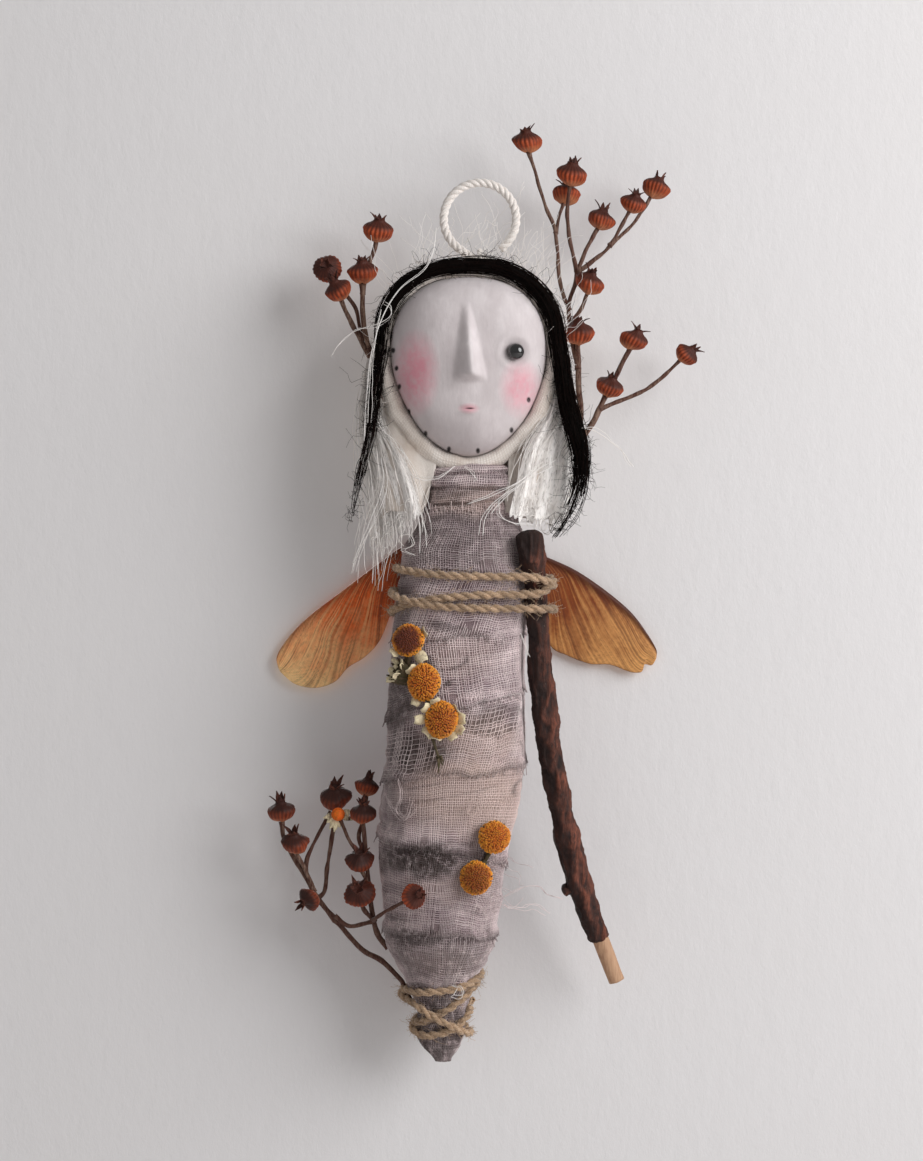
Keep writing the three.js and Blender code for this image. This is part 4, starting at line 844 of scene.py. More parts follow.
def head_share(y, grow):
    """How much of the front outline is left at a depth."""
    ahead = y < HEAD[1]
    depth = np.where(ahead, FACE_DEPTH, SKULL_DEPTH) + grow
    power = np.where(ahead, FACE_POWER, SKULL_POWER)
    return np.clip(1 - np.abs((y - HEAD[1]) / depth) ** power, 0, 1) ** (1 / power)


def face_depth(x, z):
    dx, dz = x - HEAD[0], z - HEAD[2]
    share = np.hypot(dx, dz) / head_reach(np.arctan2(dz, dx), 0)
    return HEAD[1] - FACE_DEPTH * np.clip(1 - share ** FACE_POWER, 0, 1) ** (1 / FACE_POWER)


def on_head_line(angle, reach, y):
    return xyz(HEAD[0] + reach * np.cos(angle), y, HEAD[2] + reach * np.sin(angle))


def clay_finish():
    """Grey-white paint in upright brush strokes, with painted cheeks, lips, eye socket and jaw dots, and a
    painted shadow of the hair at the top left of the face.
    """
    clay = Finish("clay", 0.72, Specular_IOR_Level=0.3)
    strokes = clay.noise((1.0, 3, 3.4), 5, roughness=0.65)
    dabs = clay.noise((4, 6, 7), 4)
    base = clay.mix(clay.spread(strokes, 0.3, 0.62, 0.26, 0), "clay", "clay_shade")
    base = clay.mix(clay.spread(dabs, 0.35, 0.65, 0.45, 0), base, "clay_shade")
    base = clay.mix(clay.times(clay.spot((-2.5, -61), (15, 9), 0.6), 0.3), base, "clay_shade")
    # Grey patches: the first, at the top left under the hair, is a painted shadow of the hair; the others lie
    # right of the eye and between the nose and the eye
    for centre, half, strength in (((-17.5, -29), (4, 7), 0.5), ((12, -36), (5, 5), 0.3),
                                   ((1.8, -38), (1.6, 6), 0.3)):
        base = clay.mix(clay.times(clay.spot(centre, half, 0.8), strength), base, "clay_shade")
    mottle = clay.spread(clay.noise(1.3, 4), 0.32, 0.62, 0.6, 1)
    for centre, half, strength in (((-14, -42), (3.8, 6.6), 0.66), ((8.8, -45.4), (3.5, 4.6), 0.52)):
        cheek = clay.times(clay.spot(centre, half, 0.5), mottle)
        base = clay.mix(clay.times(cheek, strength), base, "blush")
    lips = clay.times(clay.spot(MOUTH, (1.6, 0.8), 0.6), 0.5)
    base = clay.mix(lips, base, "blush")
    halo = clay.times(clay.spot(EYE, (2.9, 2.6), 0.3), 0.3)
    base = clay.mix(halo, base, clay.mix(strokes, "sepal", "clay_shade"))
    base = clay.mix(clay.times(clay.spot(EYE, (1.95, 1.95), 0.12), 0.35), base, "ink")
    marks = clay.spot((MOUTH[0] + 0.25, MOUTH[1] + 0.05), (0.75, 0.16), 0.6)
    for dot in JAW_DOTS:
        marks = clay.math("MAXIMUM", marks, clay.spot(dot, (0.42, 0.54), 0.35))
    faint = clay.times(marks, clay.spread(clay.noise(0.8, 3), 0.2, 0.5, 0.75, 1))
    base = clay.mix(faint, base, "ink")
    clay.bump(strokes, 0.12, 0.55)
    clay.bump(dabs, 0.25, 0.3)
    return clay.done(base, Roughness=clay.spread(strokes, 0.3, 0.7, 0.62, 0.85))


class DOLL_OT_head(Operator):
    """Model the painted clay head and its eye bead"""
    bl_idname = "doll.head"
    bl_label = "Head"

    def execute(self, context):
        deselect()
        bpy.ops.mesh.primitive_uv_sphere_add(segments=256, ring_count=160, radius=1)
        head = named("clay_head")
        dx, up, dz = raw_points(head).T
        dy, dz = -dz, up
        power = np.where(dy < 0, FACE_POWER, SKULL_POWER)
        angle, out = np.arctan2(dz, dx), np.hypot(dx, dz)
        reach = head_reach(angle, 0) * np.clip(out, 0, 1) ** (2 / power)
        depth = np.where(dy < 0, FACE_DEPTH, SKULL_DEPTH) * np.abs(dy) ** (2 / power)
        points = on_head_line(angle, reach, HEAD[1] + np.sign(dy) * depth)
        points += 0.22 * noise(points, 7.0, 4)[:, None] * np.array([0.4, 1, 0.4])
        x, _, z = points.T
        front = dy < -0.05

        along = (NOSE_TOP[1] - z) / (NOSE_TOP[1] - NOSE_TIP[1])
        ridge = NOSE_TOP[0] + (NOSE_TIP[0] - NOSE_TOP[0]) * along
        wide = np.where(x < ridge, NOSE_LEFT, NOSE_RIGHT) * (0.3 + 0.7 * np.clip(along, 0, 1))
        across = ease(1 - np.abs(x - ridge) / wide)
        height = NOSE_HEIGHT * np.clip(along, 0, 1) ** 1.15 * (1 - ease((along - 0.97) / 0.11))
        points[:, 1] -= height * across * front
        eye_far = np.hypot(x - EYE[0], z - EYE[1])
        socket = 0.75 * (1 - ease(eye_far / SOCKET_RADIUS))
        lid = 0.22 * np.exp(-((eye_far - SOCKET_RADIUS) / 0.9) ** 2)
        points[:, 1] += (socket - lid) * front
        brow = np.exp(-(((x - 6.5) / 5) ** 2 + ((z + 32) / 2.2) ** 2))
        points[:, 1] -= 0.25 * brow * front
        lip = np.exp(-((x - MOUTH[0]) / 1.5) ** 2)
        points[:, 1] -= lip * (0.38 * np.exp(-((z - MOUTH[1] - 0.6) / 0.5) ** 2)
                               + 0.42 * np.exp(-((z - MOUTH[1] + 0.6) / 0.55) ** 2)
                               - 0.25 * np.exp(-((z - MOUTH[1]) / 0.25) ** 2)) * front
        for dot_x, dot_z in JAW_DOTS:
            points[:, 1] += 0.25 * np.exp(-(((x - dot_x) ** 2 + (z - dot_z) ** 2) / 0.2)) * front
        place(head, points)
        paint(smooth(head), clay_finish())
        settle(head, "doll", "clay", "head")

        deselect()
        bpy.ops.mesh.primitive_uv_sphere_add(segments=48, ring_count=32, radius=1)
        bead = named("eye_bead_glass")
        across, deep, tall = raw_points(bead).T
        round_off = EYE_RADIUS * (1 - 0.05 * np.abs(tall) ** 6)
        centre = np.array([EYE[0], face_depth(*EYE) + EYE_SUNK - EYE_RADIUS, EYE[1]])
        turned = xyz(across, -tall * 0.96, deep) * round_off[:, None]
        place(bead, centre + turned)
        glass = Finish("bead", 0.06, Specular_IOR_Level=0.8, Coat_Weight=0.5)
        depth = glass.noise(1.2, 3)
        paint(smooth(bead), glass.done(glass.mix(glass.spread(depth, 0.4, 0.8, 0, 0.25), "bead", "ink"),
                                       Roughness=glass.spread(depth, 0.3, 0.7, 0.04, 0.12)))
        settle(bead, "doll", "bead", "eye_bead")
        return {"FINISHED"}


# Hood: its cut edge as depth and growth from the head, from inside the rim round to the outside
HOOD_ROLL = [(-3.4, -0.3), (-6.2, -0.25), (-7.6, 0.1), (-8.2, 1.0), (-7.8, 2.1), (-6.4, 3.0), (-5.0, 3.0)]
HOOD_GROW = 2.75
# Share of the hood that is its rolled edge, its spread size and pitch for the weave, and its fuzz
ROLL_SHARE, HOOD_SPREAD, HOOD_WEAVE, FUZZ_RADIUS = 0.26, (125, 38, 1), 0.5, 0.045
# Skirt of the hood, from the right of the chin round the back to the left:
# x, y and z of its top, then x and y of its foot
SKIRT = np.array([
    (6.2, -6.8, -59.6, 5.6, -9.6), (8.8, -6, -57.5, 7.4, -9.2), (11.5, -6.4, -54, 10.5, -8.4),
    (15.2, -5.5, -49, 15, -6), (16.6, -2, -46, 17.4, -2), (14.5, 3, -45, 15, 4), (8, 7, -45, 8, 9),
    (-2, 7.6, -45, -2, 9.8), (-12, 7, -45, -12, 9), (-19.3, 3, -45, -18.6, 4),
    (-21.4, -2, -46, -21.4, -3), (-20, -5.5, -49, -19.2, -8), (-16.4, -6.4, -54, -15.2, -9.6),
    (-12.6, -6.2, -57.6, -13.4, -9.2), (-9.2, -7, -60, -12.2, -8.8),
])


def hood_point(turn, share, lift=0.0):
    """A place on the hood, at a share of the way round the face and from its rim to its back."""
    angle = TURN * turn + math.pi / 2
    roll = resample(HOOD_ROLL, 60)
    on_roll = np.clip(share / ROLL_SHARE, 0, 1)
    y, grow = at_share(roll, on_roll).T
    over = np.clip((share - ROLL_SHARE) / (1 - ROLL_SHARE), 0, 1) * math.pi / 2
    y = np.where(share > ROLL_SHARE, HEAD[1] + (SKULL_DEPTH + HOOD_GROW) * np.sin(over) ** (2 / 3), y)
    grow = np.where(share > ROLL_SHARE, HOOD_GROW + 0.25 * (1 - ease(over)), grow)
    left = np.where(share > ROLL_SHARE, np.cos(over) ** (2 / 3), head_share(np.minimum(y, HEAD[1]), grow))
    jaw = ease(-2 * np.sin(angle) + 0.4)
    base = on_head_line(angle, head_reach(angle, grow) * left, y)
    folds = 0.5 * noise(base, (3.2, 26, 3.2), 3) + 0.28 * noise(base, (1.6, 9, 1.6), 5)
    swell = lift + folds * (0.55 + 0.45 * ease(share / 0.4)) + 1.1 * jaw * ease(1 - abs(share - 0.17) / 0.17)
    return on_head_line(angle, head_reach(angle, grow) * left + swell * left ** 0.3, y)


class DOLL_OT_hood(Operator):
    """Model the cotton hood and the threads that stand out from it"""
    bl_idname = "doll.hood"
    bl_label = "Hood"

    def execute(self, context):
        rng = np.random.default_rng(SEED + 1)
        hood, turn, share = grid("cotton_hood", 190, 80)
        place(hood, hood_point(1 - turn, 1 - share))
        close_seam(hood)
        face_outwards(hood)
        skirt, turn, share = grid("hood_skirt", 140, 44)
        fall, table = 1 - share, resample(SKIRT, 200)
        x, y, top, foot_x, foot_y = at_share(table, turn).T
        ragged = 1 + 0.08 * noise(xyz(30 * turn, 0, 0), 1, 6)
        flat = xyz(x + (foot_x - x) * fall, y + (foot_y - y) * fall, top - (72 + top) * fall * ragged)
        out = (flat - (-2, -1.5, 0)) * (1, 1, 0)
        out /= np.linalg.norm(out, axis=1, keepdims=True)
        folds = 0.5 * np.sin(64 * turn) + 0.9 * noise(xyz(36 * turn, 0, 3 * fall), 1, 4)
        place(skirt, flat + out * (folds * fall)[:, None])
        face_outwards(skirt)
        hood = join([hood, skirt], "cotton_hood")
        thicken(hood, size("hood_thickness"))
        cotton = Finish("cotton", 0.95, Sheen_Weight=0.35, Sheen_Roughness=0.5, Specular_IOR_Level=0.15)
        uv = cotton.node("Mapping", Vector=cotton.where("UV"), Scale=HOOD_SPREAD).outputs[0]
        waves = [cotton.node("TexWave", {"bands_direction": way}, Vector=uv, Scale=WAVE / HOOD_WEAVE,
                             Distortion=1.2, Detail=2.0).outputs["Fac"] for way in ("X", "Y")]
        weave = cotton.times(*waves)
        worn = cotton.noise((7, 7, 9), 4)
        base = cotton.mix(cotton.spread(worn, 0.42, 0.68, 0, 0.75), "cotton", "cotton_shade")
        # Painted shade: the left side of the hood beside the jaw is darkened
        painted_left_shade = cotton.times(cotton.spot((-17.5, -50), (5, 9), 0.6), 0.25)
        base = cotton.mix(painted_left_shade, base, "cotton_shade")
        base = cotton.mix(cotton.spread(weave, 0, 0.3, 0.35, 0), base, "cotton_shade")
        cotton.bump(weave, 0.12, 0.7)
        cotton.bump(cotton.noise(0.8, 4), 0.2, 0.5)
        paint(smooth(hood), cotton.done(base))
        settle(hood, "doll", "cream_cotton", "hood")

        count = 420
        turn, share = rng.uniform(0, 1, count), rng.uniform(0.12, 0.9, count)
        foot = hood_point(turn, share, 0.1)
        out = hood_point(turn, share, 1.1) - foot
        reach = np.minimum(rng.exponential(1.6, count) + 0.5, 6)[:, None, None]
        step = np.linspace(0, 1, 9)[None, :, None]
        fuzz = foot[:, None] + out[:, None] * step * reach * 0.55
        fuzz = fuzz + wander(rng, count, 9, 1.0, 3) * reach * 0.5
        fuzz[..., 1] = np.minimum(fuzz[..., 1], WALL_PLANE - 0.3)
        fuzz_piece = tubes("hood_fuzz", [(fuzz, FUZZ_RADIUS, rng.uniform(0.3, 1, count))])
        paint(fuzz_piece, white_thread_finish("hood_thread"))
        settle(fuzz_piece, "doll", "cream_cotton")
        return {"FINISHED"}


def white_thread_finish(name):
    """Loose cotton thread, from white to cream."""
    thread = Finish(name, 0.9, Sheen_Weight=0.3, Specular_IOR_Level=0.2)
    tone = thread.times(thread.attribute("tone"), thread.spread(thread.noise(2.0, 3), 0.2, 0.7))
    return thread.done(thread.mix(tone, "white_thread", "cotton_shade"))


# Hair: angles over the head from left to right with the hank's radius, then each hanging tail
# as its way from the head, sideways, back and up, with its radius
HAIR_OVER = np.array([(182, 1.25), (160, 1.5), (139, 1.6), (117, 1.5), (92, 1.45), (68, 1.55), (46, 1.6),
                      (24, 1.65), (3, 1.6)])
LEFT_TAIL = np.array([(-1.4, -0.4, -9.8, 1.1), (-2.7, 0, -19.4, 0.8), (-5.4, 1.2, -30, 0.35),
                      (-6.7, 1.8, -37.4, 0.2)])
RIGHT_TAIL = np.array([(1.6, -0.4, -10.6, 1.6), (3.8, -0.8, -19.2, 1.75), (5.0, -0.8, -25.0, 1.6),
                       (4.6, -0.8, -31.4, 1.2), (2.4, -0.8, -37.6, 0.75), (-0.6, -0.8, -42.1, 0.3)])
# Hairs that start in the thin left tail, and stray hairs: how many, between two shares of the hank's length
TAIL_HAIRS = 26
STRAY_HAIRS = [(2150, 0.14, 0.92), (300, 0.7, 1), (150, 0, 0.25)]


def hank_table():
    """Even points along the hank of hair with its radius, and two directions across it."""
    angle, radii = np.radians(HAIR_OVER[:, 0]), HAIR_OVER[:, 1]
    y = HOOD_RIM - SEAT - radii
    reach = head_reach(angle, 0) * head_share(y, 0) + 1.0 + radii
    over = np.column_stack([on_head_line(angle, reach, y), radii])
    start = np.array([1, 1, 1, 0])
    route = np.vstack([(over[0] * start + LEFT_TAIL)[::-1], over, over[-1] * start + RIGHT_TAIL])
    table = resample(route, 400)
    side, up = frames(table[None, :, :3])
    return np.hstack([table, side[0], up[0]])


def in_hank(table, share, out, angle):
    """A place in the hank, at a share of its length and of its radius."""
    columns = at_share(table, share)
    reach = (columns[..., 3] * out)[..., None]
    return columns[..., :3] + reach * turned(angle[..., None], columns[..., 4:7], columns[..., 7:])


class DOLL_OT_hair(Operator):
    """Model the hank of wool hair, hair by hair"""
    bl_idname = "doll.hair"
    bl_label = "Hair"

    def execute(self, context):
        rng = np.random.default_rng(SEED + 2)
        table, count = hank_table(), context.scene.doll_sizes.hairs
        at = np.linspace(0, 1, len(table))
        full = ease((at - 0.19) / 0.2) * ease((0.9 - at) / 0.07)
        lumps = 0.8 + 0.22 * noise(table[:, :3], 3.2, 3)
        thick = lumps * full * table[None, :, 3] + 0.05
        core = tubes("hair_core", [(table[None, :, :3], thick, [0.2])], sides=16)
        start, length = rng.uniform(0.16, 0.8, count), rng.uniform(0.1, 0.45, count)
        start[:TAIL_HAIRS] = rng.uniform(0, 0.1, TAIL_HAIRS)
        length[:TAIL_HAIRS] = rng.uniform(0.12, 0.35, TAIL_HAIRS)
        last = np.where(np.arange(count) % 5 == 0, 1, rng.uniform(0.86, 0.95, count))
        ends = np.minimum(start + length, last)
        share = start[:, None] + np.maximum(ends - start, 0.03)[:, None] * np.linspace(0, 1, 20)
        out = np.sqrt(rng.uniform(0.3, 1.25, count))[:, None]
        out = out + 0.14 * rng.normal(size=(count, 1)) * np.sin(9 * share)
        angle = rng.uniform(0, TURN, count)[:, None] + rng.normal(0, 5, (count, 1)) * share
        frayed = 1 + 1.1 * (1 - ease(share / 0.2)) + 1.1 * ease((share - 0.86) / 0.14)
        hairs = in_hank(table, share, np.abs(out) * frayed, angle) + wander(rng, count, 20, 0.7, 5)
        radius = size("hair_radius")
        share = np.concatenate([rng.uniform(low, high, number) for number, low, high in STRAY_HAIRS])
        count = len(share)
        angle = rng.uniform(0, TURN, count)
        foot = in_hank(table, share, 0.85 + 0 * share, angle)
        ahead = in_hank(table, np.clip(share + 0.02, 0, 1), 0.85 + 0 * share, angle) - foot
        ahead /= np.linalg.norm(ahead, axis=1, keepdims=True) + 1e-9
        leaving = in_hank(table, share, 1.85 + 0 * share, angle) - foot
        leaving /= np.linalg.norm(leaving, axis=1, keepdims=True) + 1e-9
        reach = np.minimum(rng.exponential(1.05, count) + 0.6, 6.5)[:, None, None]
        way = np.sign(rng.uniform(-0.6, 1, count))[:, None] * ahead * rng.uniform(0.2, 1, (count, 1))
        step = np.linspace(0, 1, 7)[None, :, None]
        loose = (foot[:, None] + reach * (step * way[:, None] + 0.6 * step ** 1.3 * leaving[:, None])
                 + wander(rng, count, 7, 1.0, 3) * reach * 0.75)
        strands = tubes("hairs", [(hairs, radius, rng.uniform(0, 1, len(hairs))),
                                  (loose, radius * np.linspace(0.75, 0.35, 7), rng.uniform(0, 1, count))])
        hair = join([core, strands], "wool_hair")
        wool = Finish("wool", 0.95, Specular_IOR_Level=0.06)
        tone = wool.times(wool.attribute("tone"), wool.noise(1.5, 3))
        wool.bump(wool.noise((0.3, 0.3, 1.2), 3), 0.15)
        paint(hair, wool.done(wool.mix(wool.times(tone, 0.35), "wool", "sepal")))
        settle(hair, "doll", "black_wool", "hair_roving")
        return {"FINISHED"}


# Veils: inner and outer edges going down, how many folds, share of the threads, how sheer it is,
# how far the longest threads hang past its foot as a share of its height, and the flat cut
VEILS = {
    "veil_left": (
        [(-23.1, -4, -38), (-21.4, -5, -50), (-18.2, -7, -57), (-15.2, -9.8, -64), (-13.5, -10.6, -70),
         (-12.6, -11.2, -73.5)],
        [(-25, -2, -38), (-26.6, -2, -50), (-26.2, -2.5, -57), (-25.2, -3.4, -65), (-24.4, -4.4, -74),
         (-24, -5, -82)],
        4, 0.56, 0.95, 0.16, (17, 36)),
    "veil_right": (
        [(17.6, -3.5, -40), (14.8, -7.4, -50), (10.4, -10, -57), (8.2, -11, -64), (6.8, -11.8, -70),
         (5.8, -12.4, -74)],
        [(20.2, -3, -40), (20.8, -3, -48), (21, -3.2, -56), (20.4, -3.5, -63), (19.5, -4, -70),
         (18.6, -4.4, -76)],
        3, 0.3, 1.0, -0.08, (14.5, 31)),
}
# Spread size of a veil
VEIL_WIDE, VEIL_TALL = 20, 42
# Single white threads that lie over the doll, by their points
LOOSE_THREADS = [
    [(-32.5, -8, -38), (-28.2, -9, -32.6), (-20.6, -10.6, -30), (-19.5, -10.8, -27.2), (-20.8, -10.4, -26.1)],
    [(-9.6, -7.4, -9.9), (-10.2, -8.6, -15.3), (-12.2, -10.2, -19.6), (-17.4, -10.6, -23.5),
     (-21, -10.4, -29), (-23.4, -10.2, -36), (-24.6, -9.6, -45), (-25, -8.8, -56)],
    [(-21.5, -10.4, -28), (-22.6, -10.4, -34), (-23.8, -9.8, -42), (-24.3, -9, -52)],
    [(-5.5, -11.4, -62), (-8.6, -12.2, -64.3), (-11.8, -11.8, -64.7), (-14.4, -11, -63.8)],
    [(-3.4, -11.6, -62.2), (-2, -12.4, -63.8), (-1.2, -12.2, -65.2)],
    [(15.7, -9.2, -62), (8.6, -11.8, -66.1), (3.6, -13, -70), (0.8, -13.6, -73.7), (0.2, -14.6, -77.6)],
    [(16.4, -9, -60.6), (9.4, -11.8, -65.2), (4.4, -13.2, -69.6), (1.8, -13.8, -72.4)],
    [(13.6, -9.8, -61), (8, -12, -65.4), (2, -13, -68.6), (-3.2, -13.2, -70.4)],
    [(4, -13.2, -69.4), (4.2, -13.4, -72.6), (6.4, -13.2, -74.4), (11.2, -11, -75.2)],
    [(21.1, -9.6, -53.6), (26.1, -7.5, -54.5), (30.6, -5.6, -57.9), (33.7, -4.4, -61.6)],
    [(-16.6, -9.4, -79.4), (-17.8, -9.8, -77.4), (-15.6, -10.2, -76.8), (-14.8, -10.4, -79),
     (-16.8, -10, -80.4), (-14.6, -10.6, -81.4)],
    [(-20.6, -8.6, -62), (-20.4, -9, -67), (-23.6, -8, -75), (-26.6, -6.6, -81), (-28.4, -5.6, -86)],
    [(-21.6, -8.2, -60), (-21.2, -8.8, -66), (-24.4, -7.6, -74), (-27.2, -6.4, -80), (-28.2, -5.4, -84)],
    [(-22.6, -7.4, -58), (-22.4, -8, -66), (-25.2, -7, -73), (-26.4, -6.2, -79), (-28, -5.2, -82.6)],
    [(-18.4, -7.6, -79), (-20, -7, -81), (-21.4, -6, -85), (-22, -5.6, -89)],
    [(-6.2, -9.2, -174.8), (-4.2, -9.6, -175), (-3.4, -9.6, -176.3), (-5.2, -9.6, -176.7),
     (-4.6, -9.6, -175.4)],
    [(8.6, -9, -98), (9.6, -9.4, -101), (10.4, -9.8, -103.6)],
]


def veil_point(name, across, down, lift=0.0):
    """A place on a veil, at a share of the way out and down; the fold deepens going down."""
    inner, outer, folds = VEILS[name][:3]
    edges = [at_share(resample(edge, 80), np.minimum(down, 1)) for edge in (inner, outer)]
    point = edges[0] + (edges[1] - edges[0]) * across[..., None]
    depth = np.minimum(np.maximum(down, 0) * 1.6 + 0.25, 1) * 0.7
    point[..., 1] += depth * np.cos(TURN * folds * across) + 0.8 * noise(point, (3.4, 3.4, 5), 6) - lift
    point[..., 2] -= VEIL_TALL * np.maximum(down - 1, 0)
    return point


class DOLL_OT_veils(Operator):
    """Model the frayed veils at the sides of the head and the loose white threads"""
    bl_idname = "doll.veils"
    bl_label = "Veils and loose threads"

    def execute(self, context):
        rng = np.random.default_rng(SEED + 3)
        strand = white_thread_finish("veil_thread")
        for name, (_, _, _, share, sheer, longest, cut) in VEILS.items():
            cloth, across, down = grid(name + "_gauze", 60, 70)
            ragged = 0.05 * noise(xyz(across * 16, 0, 0), 0.7, 2)
            points = veil_point(name, across, (1 - down) * (0.96 + ragged))
            place(cloth, points)
            face_outwards(cloth)
            thicken(cloth, size("veil_thickness"), 0.0)
            gauze = Finish(name, 0.95, Sheen_Weight=0.3, Specular_IOR_Level=0.1)
            uv = gauze.node("Mapping", Vector=gauze.where("UV"), Scale=(VEIL_WIDE, VEIL_TALL, 1)).outputs[0]
            combed = gauze.noise((1.1, 2.2, 1), 6, vector=uv, roughness=0.7)
            base = gauze.mix(gauze.spread(combed, 0.25, 0.45, 0.45, 1), "cotton_shade", "white_thread")
            gauze.bump(combed, 0.3, 0.6)
            paint(smooth(cloth), gauze.done(base, Alpha=gauze.spread(combed, 0.34, 0.52, 0.5, sheer)))
            count = int(context.scene.doll_sizes.veil_threads * share)
            start = rng.uniform(-0.02, 0.35, count) * rng.uniform(0, 1, count)
            reach = 1 + np.minimum(rng.exponential(0.05, count), longest)
            reach = reach - 0.3 * (rng.uniform(0, 1, count) < 0.25)
            down = start[:, None] + (reach - start)[:, None] * np.linspace(0, 1, 30)
            across = rng.uniform(0, 1, count)[:, None]
            across = across + 0.09 * rng.normal(size=(count, 1)) * np.linspace(0, 1, 30)
            lift = 0.25 * rng.uniform(-1, 2.4, (count, 1))
            threads = veil_point(name, np.clip(across, -0.05, 1.05), down, lift)
            threads += wander(rng, count, 30, 1.0, 6) * rng.uniform(0.4, 2.6, (count, 1, 1))
            threads += wander(rng, count, 30, 1.0, 2) * rng.uniform(0.6, 1.9, (count, 1, 1))
            curls = 30
            middle = veil_point(name, rng.uniform(0.1, 0.95, curls), rng.uniform(0.86, 1.0, curls), 0.6)
            angle = rng.uniform(0, TURN, (curls, 1)) + np.linspace(0, 5, 18)
            width = rng.uniform(0.5, 1.3, (curls, 1)) * np.linspace(1, 0.7, 18)
            ring = xyz(width * np.cos(angle), 0.3 * np.sin(2 * angle), 1.4 * width * np.sin(angle))
            loops = middle[:, None] + ring
            fringe = tubes(name + "_threads", [
                (threads, rng.uniform(0.04, 0.085, (count, 1)), rng.uniform(0, 0.5, count)),
                (loops, 0.08, rng.uniform(0, 0.5, curls))])
            paint(fringe, strand)
            settle(cloth, "doll", "white_gauze", name)
            settle(fringe, "doll", "white_gauze")

        routes = np.array([resample(route, 40) for route in LOOSE_THREADS])
        routes += wander(rng, len(routes), 40, 0.5, 7)
        second = routes + wander(rng, len(routes), 40, 0.9, 9)
        tone = rng.uniform(0, 0.4, len(routes))
        loose = tubes("loose_threads", [(routes, 0.085, tone), (second, 0.06, tone)])
        paint(loose, strand)
        settle(loose, "doll", "white_gauze")

        count = 170
        turn = rng.uniform(-0.27, 0.16, count)
        foot = hood_point(turn, rng.uniform(0.2, 0.6, count), 0.2)
        step = np.linspace(0, 1, 16)[None, :, None]
        reach = rng.uniform(3, 14, (count, 1, 1))
        lean = xyz(rng.normal(0.25, 0.45, count), rng.uniform(-0.2, 0.15, count), 1)
        wisps = foot[:, None] + reach * step * lean[:, None] + wander(rng, count, 16, 1.0, 5) * reach * 0.3
        wisps[..., 1] = np.minimum(wisps[..., 1], WALL_PLANE - 0.5)
        crown = tubes("crown_wisps", [(wisps, FUZZ_RADIUS, rng.uniform(0, 0.4, count))])
        paint(crown, strand)
        settle(crown, "doll", "white_gauze")
        return {"FINISHED"}


# Staff: its place in the lashing, and its way from there as x, y, z and a share of its radius
LASHING, STAFF_RADIUS, STAFF_ROOM = np.array([12.18, -8.73, -91.0]), 2.3, 0.65
STAFF_TILT, STAFF_HOLLOW = 3.0, 0.75
STAFF_ROUTE = np.array([
    (-1.9, -2.6, 15.2, 1.25), (-1.2, -2.1, 10.8, 1.2), (-0.4, -1.1, 5.4, 1.02), (0, 0, 0, 1),
    (0.6, 0.6, -8.6, 1.02), (1.4, 2.2, -19.6, 1.16), (2.9, 4.4, -31.7, 1.12), (5.3, 6.4, -43.9, 1.08),
    (7.8, 7.6, -55, 1.16), (9.8, 8.6, -62.8, 1.14), (12, 9.4, -69.5, 1.06), (14.7, 10.4, -75.6, 0.95)])
STAFF_LINE = np.column_stack([LASHING + STAFF_ROUTE[:, :3], STAFF_RADIUS * STAFF_ROUTE[:, 3]])
PEELED_END, PEELED_RADIUS = LASHING + np.array([18.3, 11.4, -85]), 1.65

# Twine: yarns in a ply, their pitch and the step along them, then the radii of string and stem
YARNS, YARN_PITCH, TWINE_STEP = 8, -3.4, 0.55
TWINE_RADIUS, ANKLE_TWINE_RADIUS = 1.0, 0.8
STRIP_SWELL, FOOT_STEM_RADIUS, FOOT_STEM_END = 0.3, 0.7, -179.5
# Chest string: its heights at turns round the body
CHEST_HEIGHTS = [-86, -88.4, -85.8, -83.8, -86.6, -90.2, -93.9, -92.9, -93, -88.7, -90]
CHEST_TURNS = [0, 0.25, 0.5, 0.75, 1.25, 1.5, 1.75, 2.25, 2.5, 2.75, 3]
# Where a turn rides over another: turn, half length and lift
CHEST_CROSSINGS = [(1.34, 0.13, 1.2), (2.64, 0.09, 1.3)]
# Foot string: turns in all, turns until it climbs again, height of its top and drop in each turn
ANKLE_TURNS, ANKLE_DOWN, ANKLE_TOP, ANKLE_DROP = 4.2, 2.6, -172.6, 4.8


def even(route, step):
    """Points a step apart along a line, with its corners rounded off."""
    line = spaced(route, int(run_along(route)[-1] / step))
    kernel = np.hanning(11)[1:-1] / np.hanning(11).sum()
    padded = np.pad(line, ((4, 4), (0, 0)), mode="edge")
    return np.stack([np.convolve(column, kernel, "valid") for column in padded.T], axis=1)


def taut(z, angle, lift, centre, reach):
    """The line of a taut turn round the body and whatever is held against it."""
    outward = xyz(np.cos(angle), np.sin(angle), 0)
    on_body = around(z, angle, lift)
    on_held = xyz(centre[..., 0], centre[..., 1], z) + outward * reach[..., None]
    further = np.sum(on_held * outward, axis=-1) > np.sum(on_body * outward, axis=-1)
    return np.where(further[..., None], on_held, on_body)


def chest_line():
    turn = np.linspace(0, CHEST_TURNS[-1], 421)
    z = np.interp(turn, CHEST_TURNS, CHEST_HEIGHTS)
    z = np.convolve(np.pad(z, 10, mode="edge"), np.full(21, 1 / 21), "valid")
    x, y, radius = (np.interp(-z, -STAFF_LINE[:, 2], STAFF_LINE[:, i]) for i in (0, 1, 3))
    reach = radius + STAFF_ROOM + TWINE_RADIUS
    angle = math.pi / 2 - turn * TURN
    lift = STRIP_SWELL + 0.8 * TWINE_RADIUS + sum(
        up * np.exp(-((turn - at) / half) ** 2) for at, half, up in CHEST_CROSSINGS)
    return even(taut(z, angle, lift, xyz(x, y), reach), TWINE_STEP)


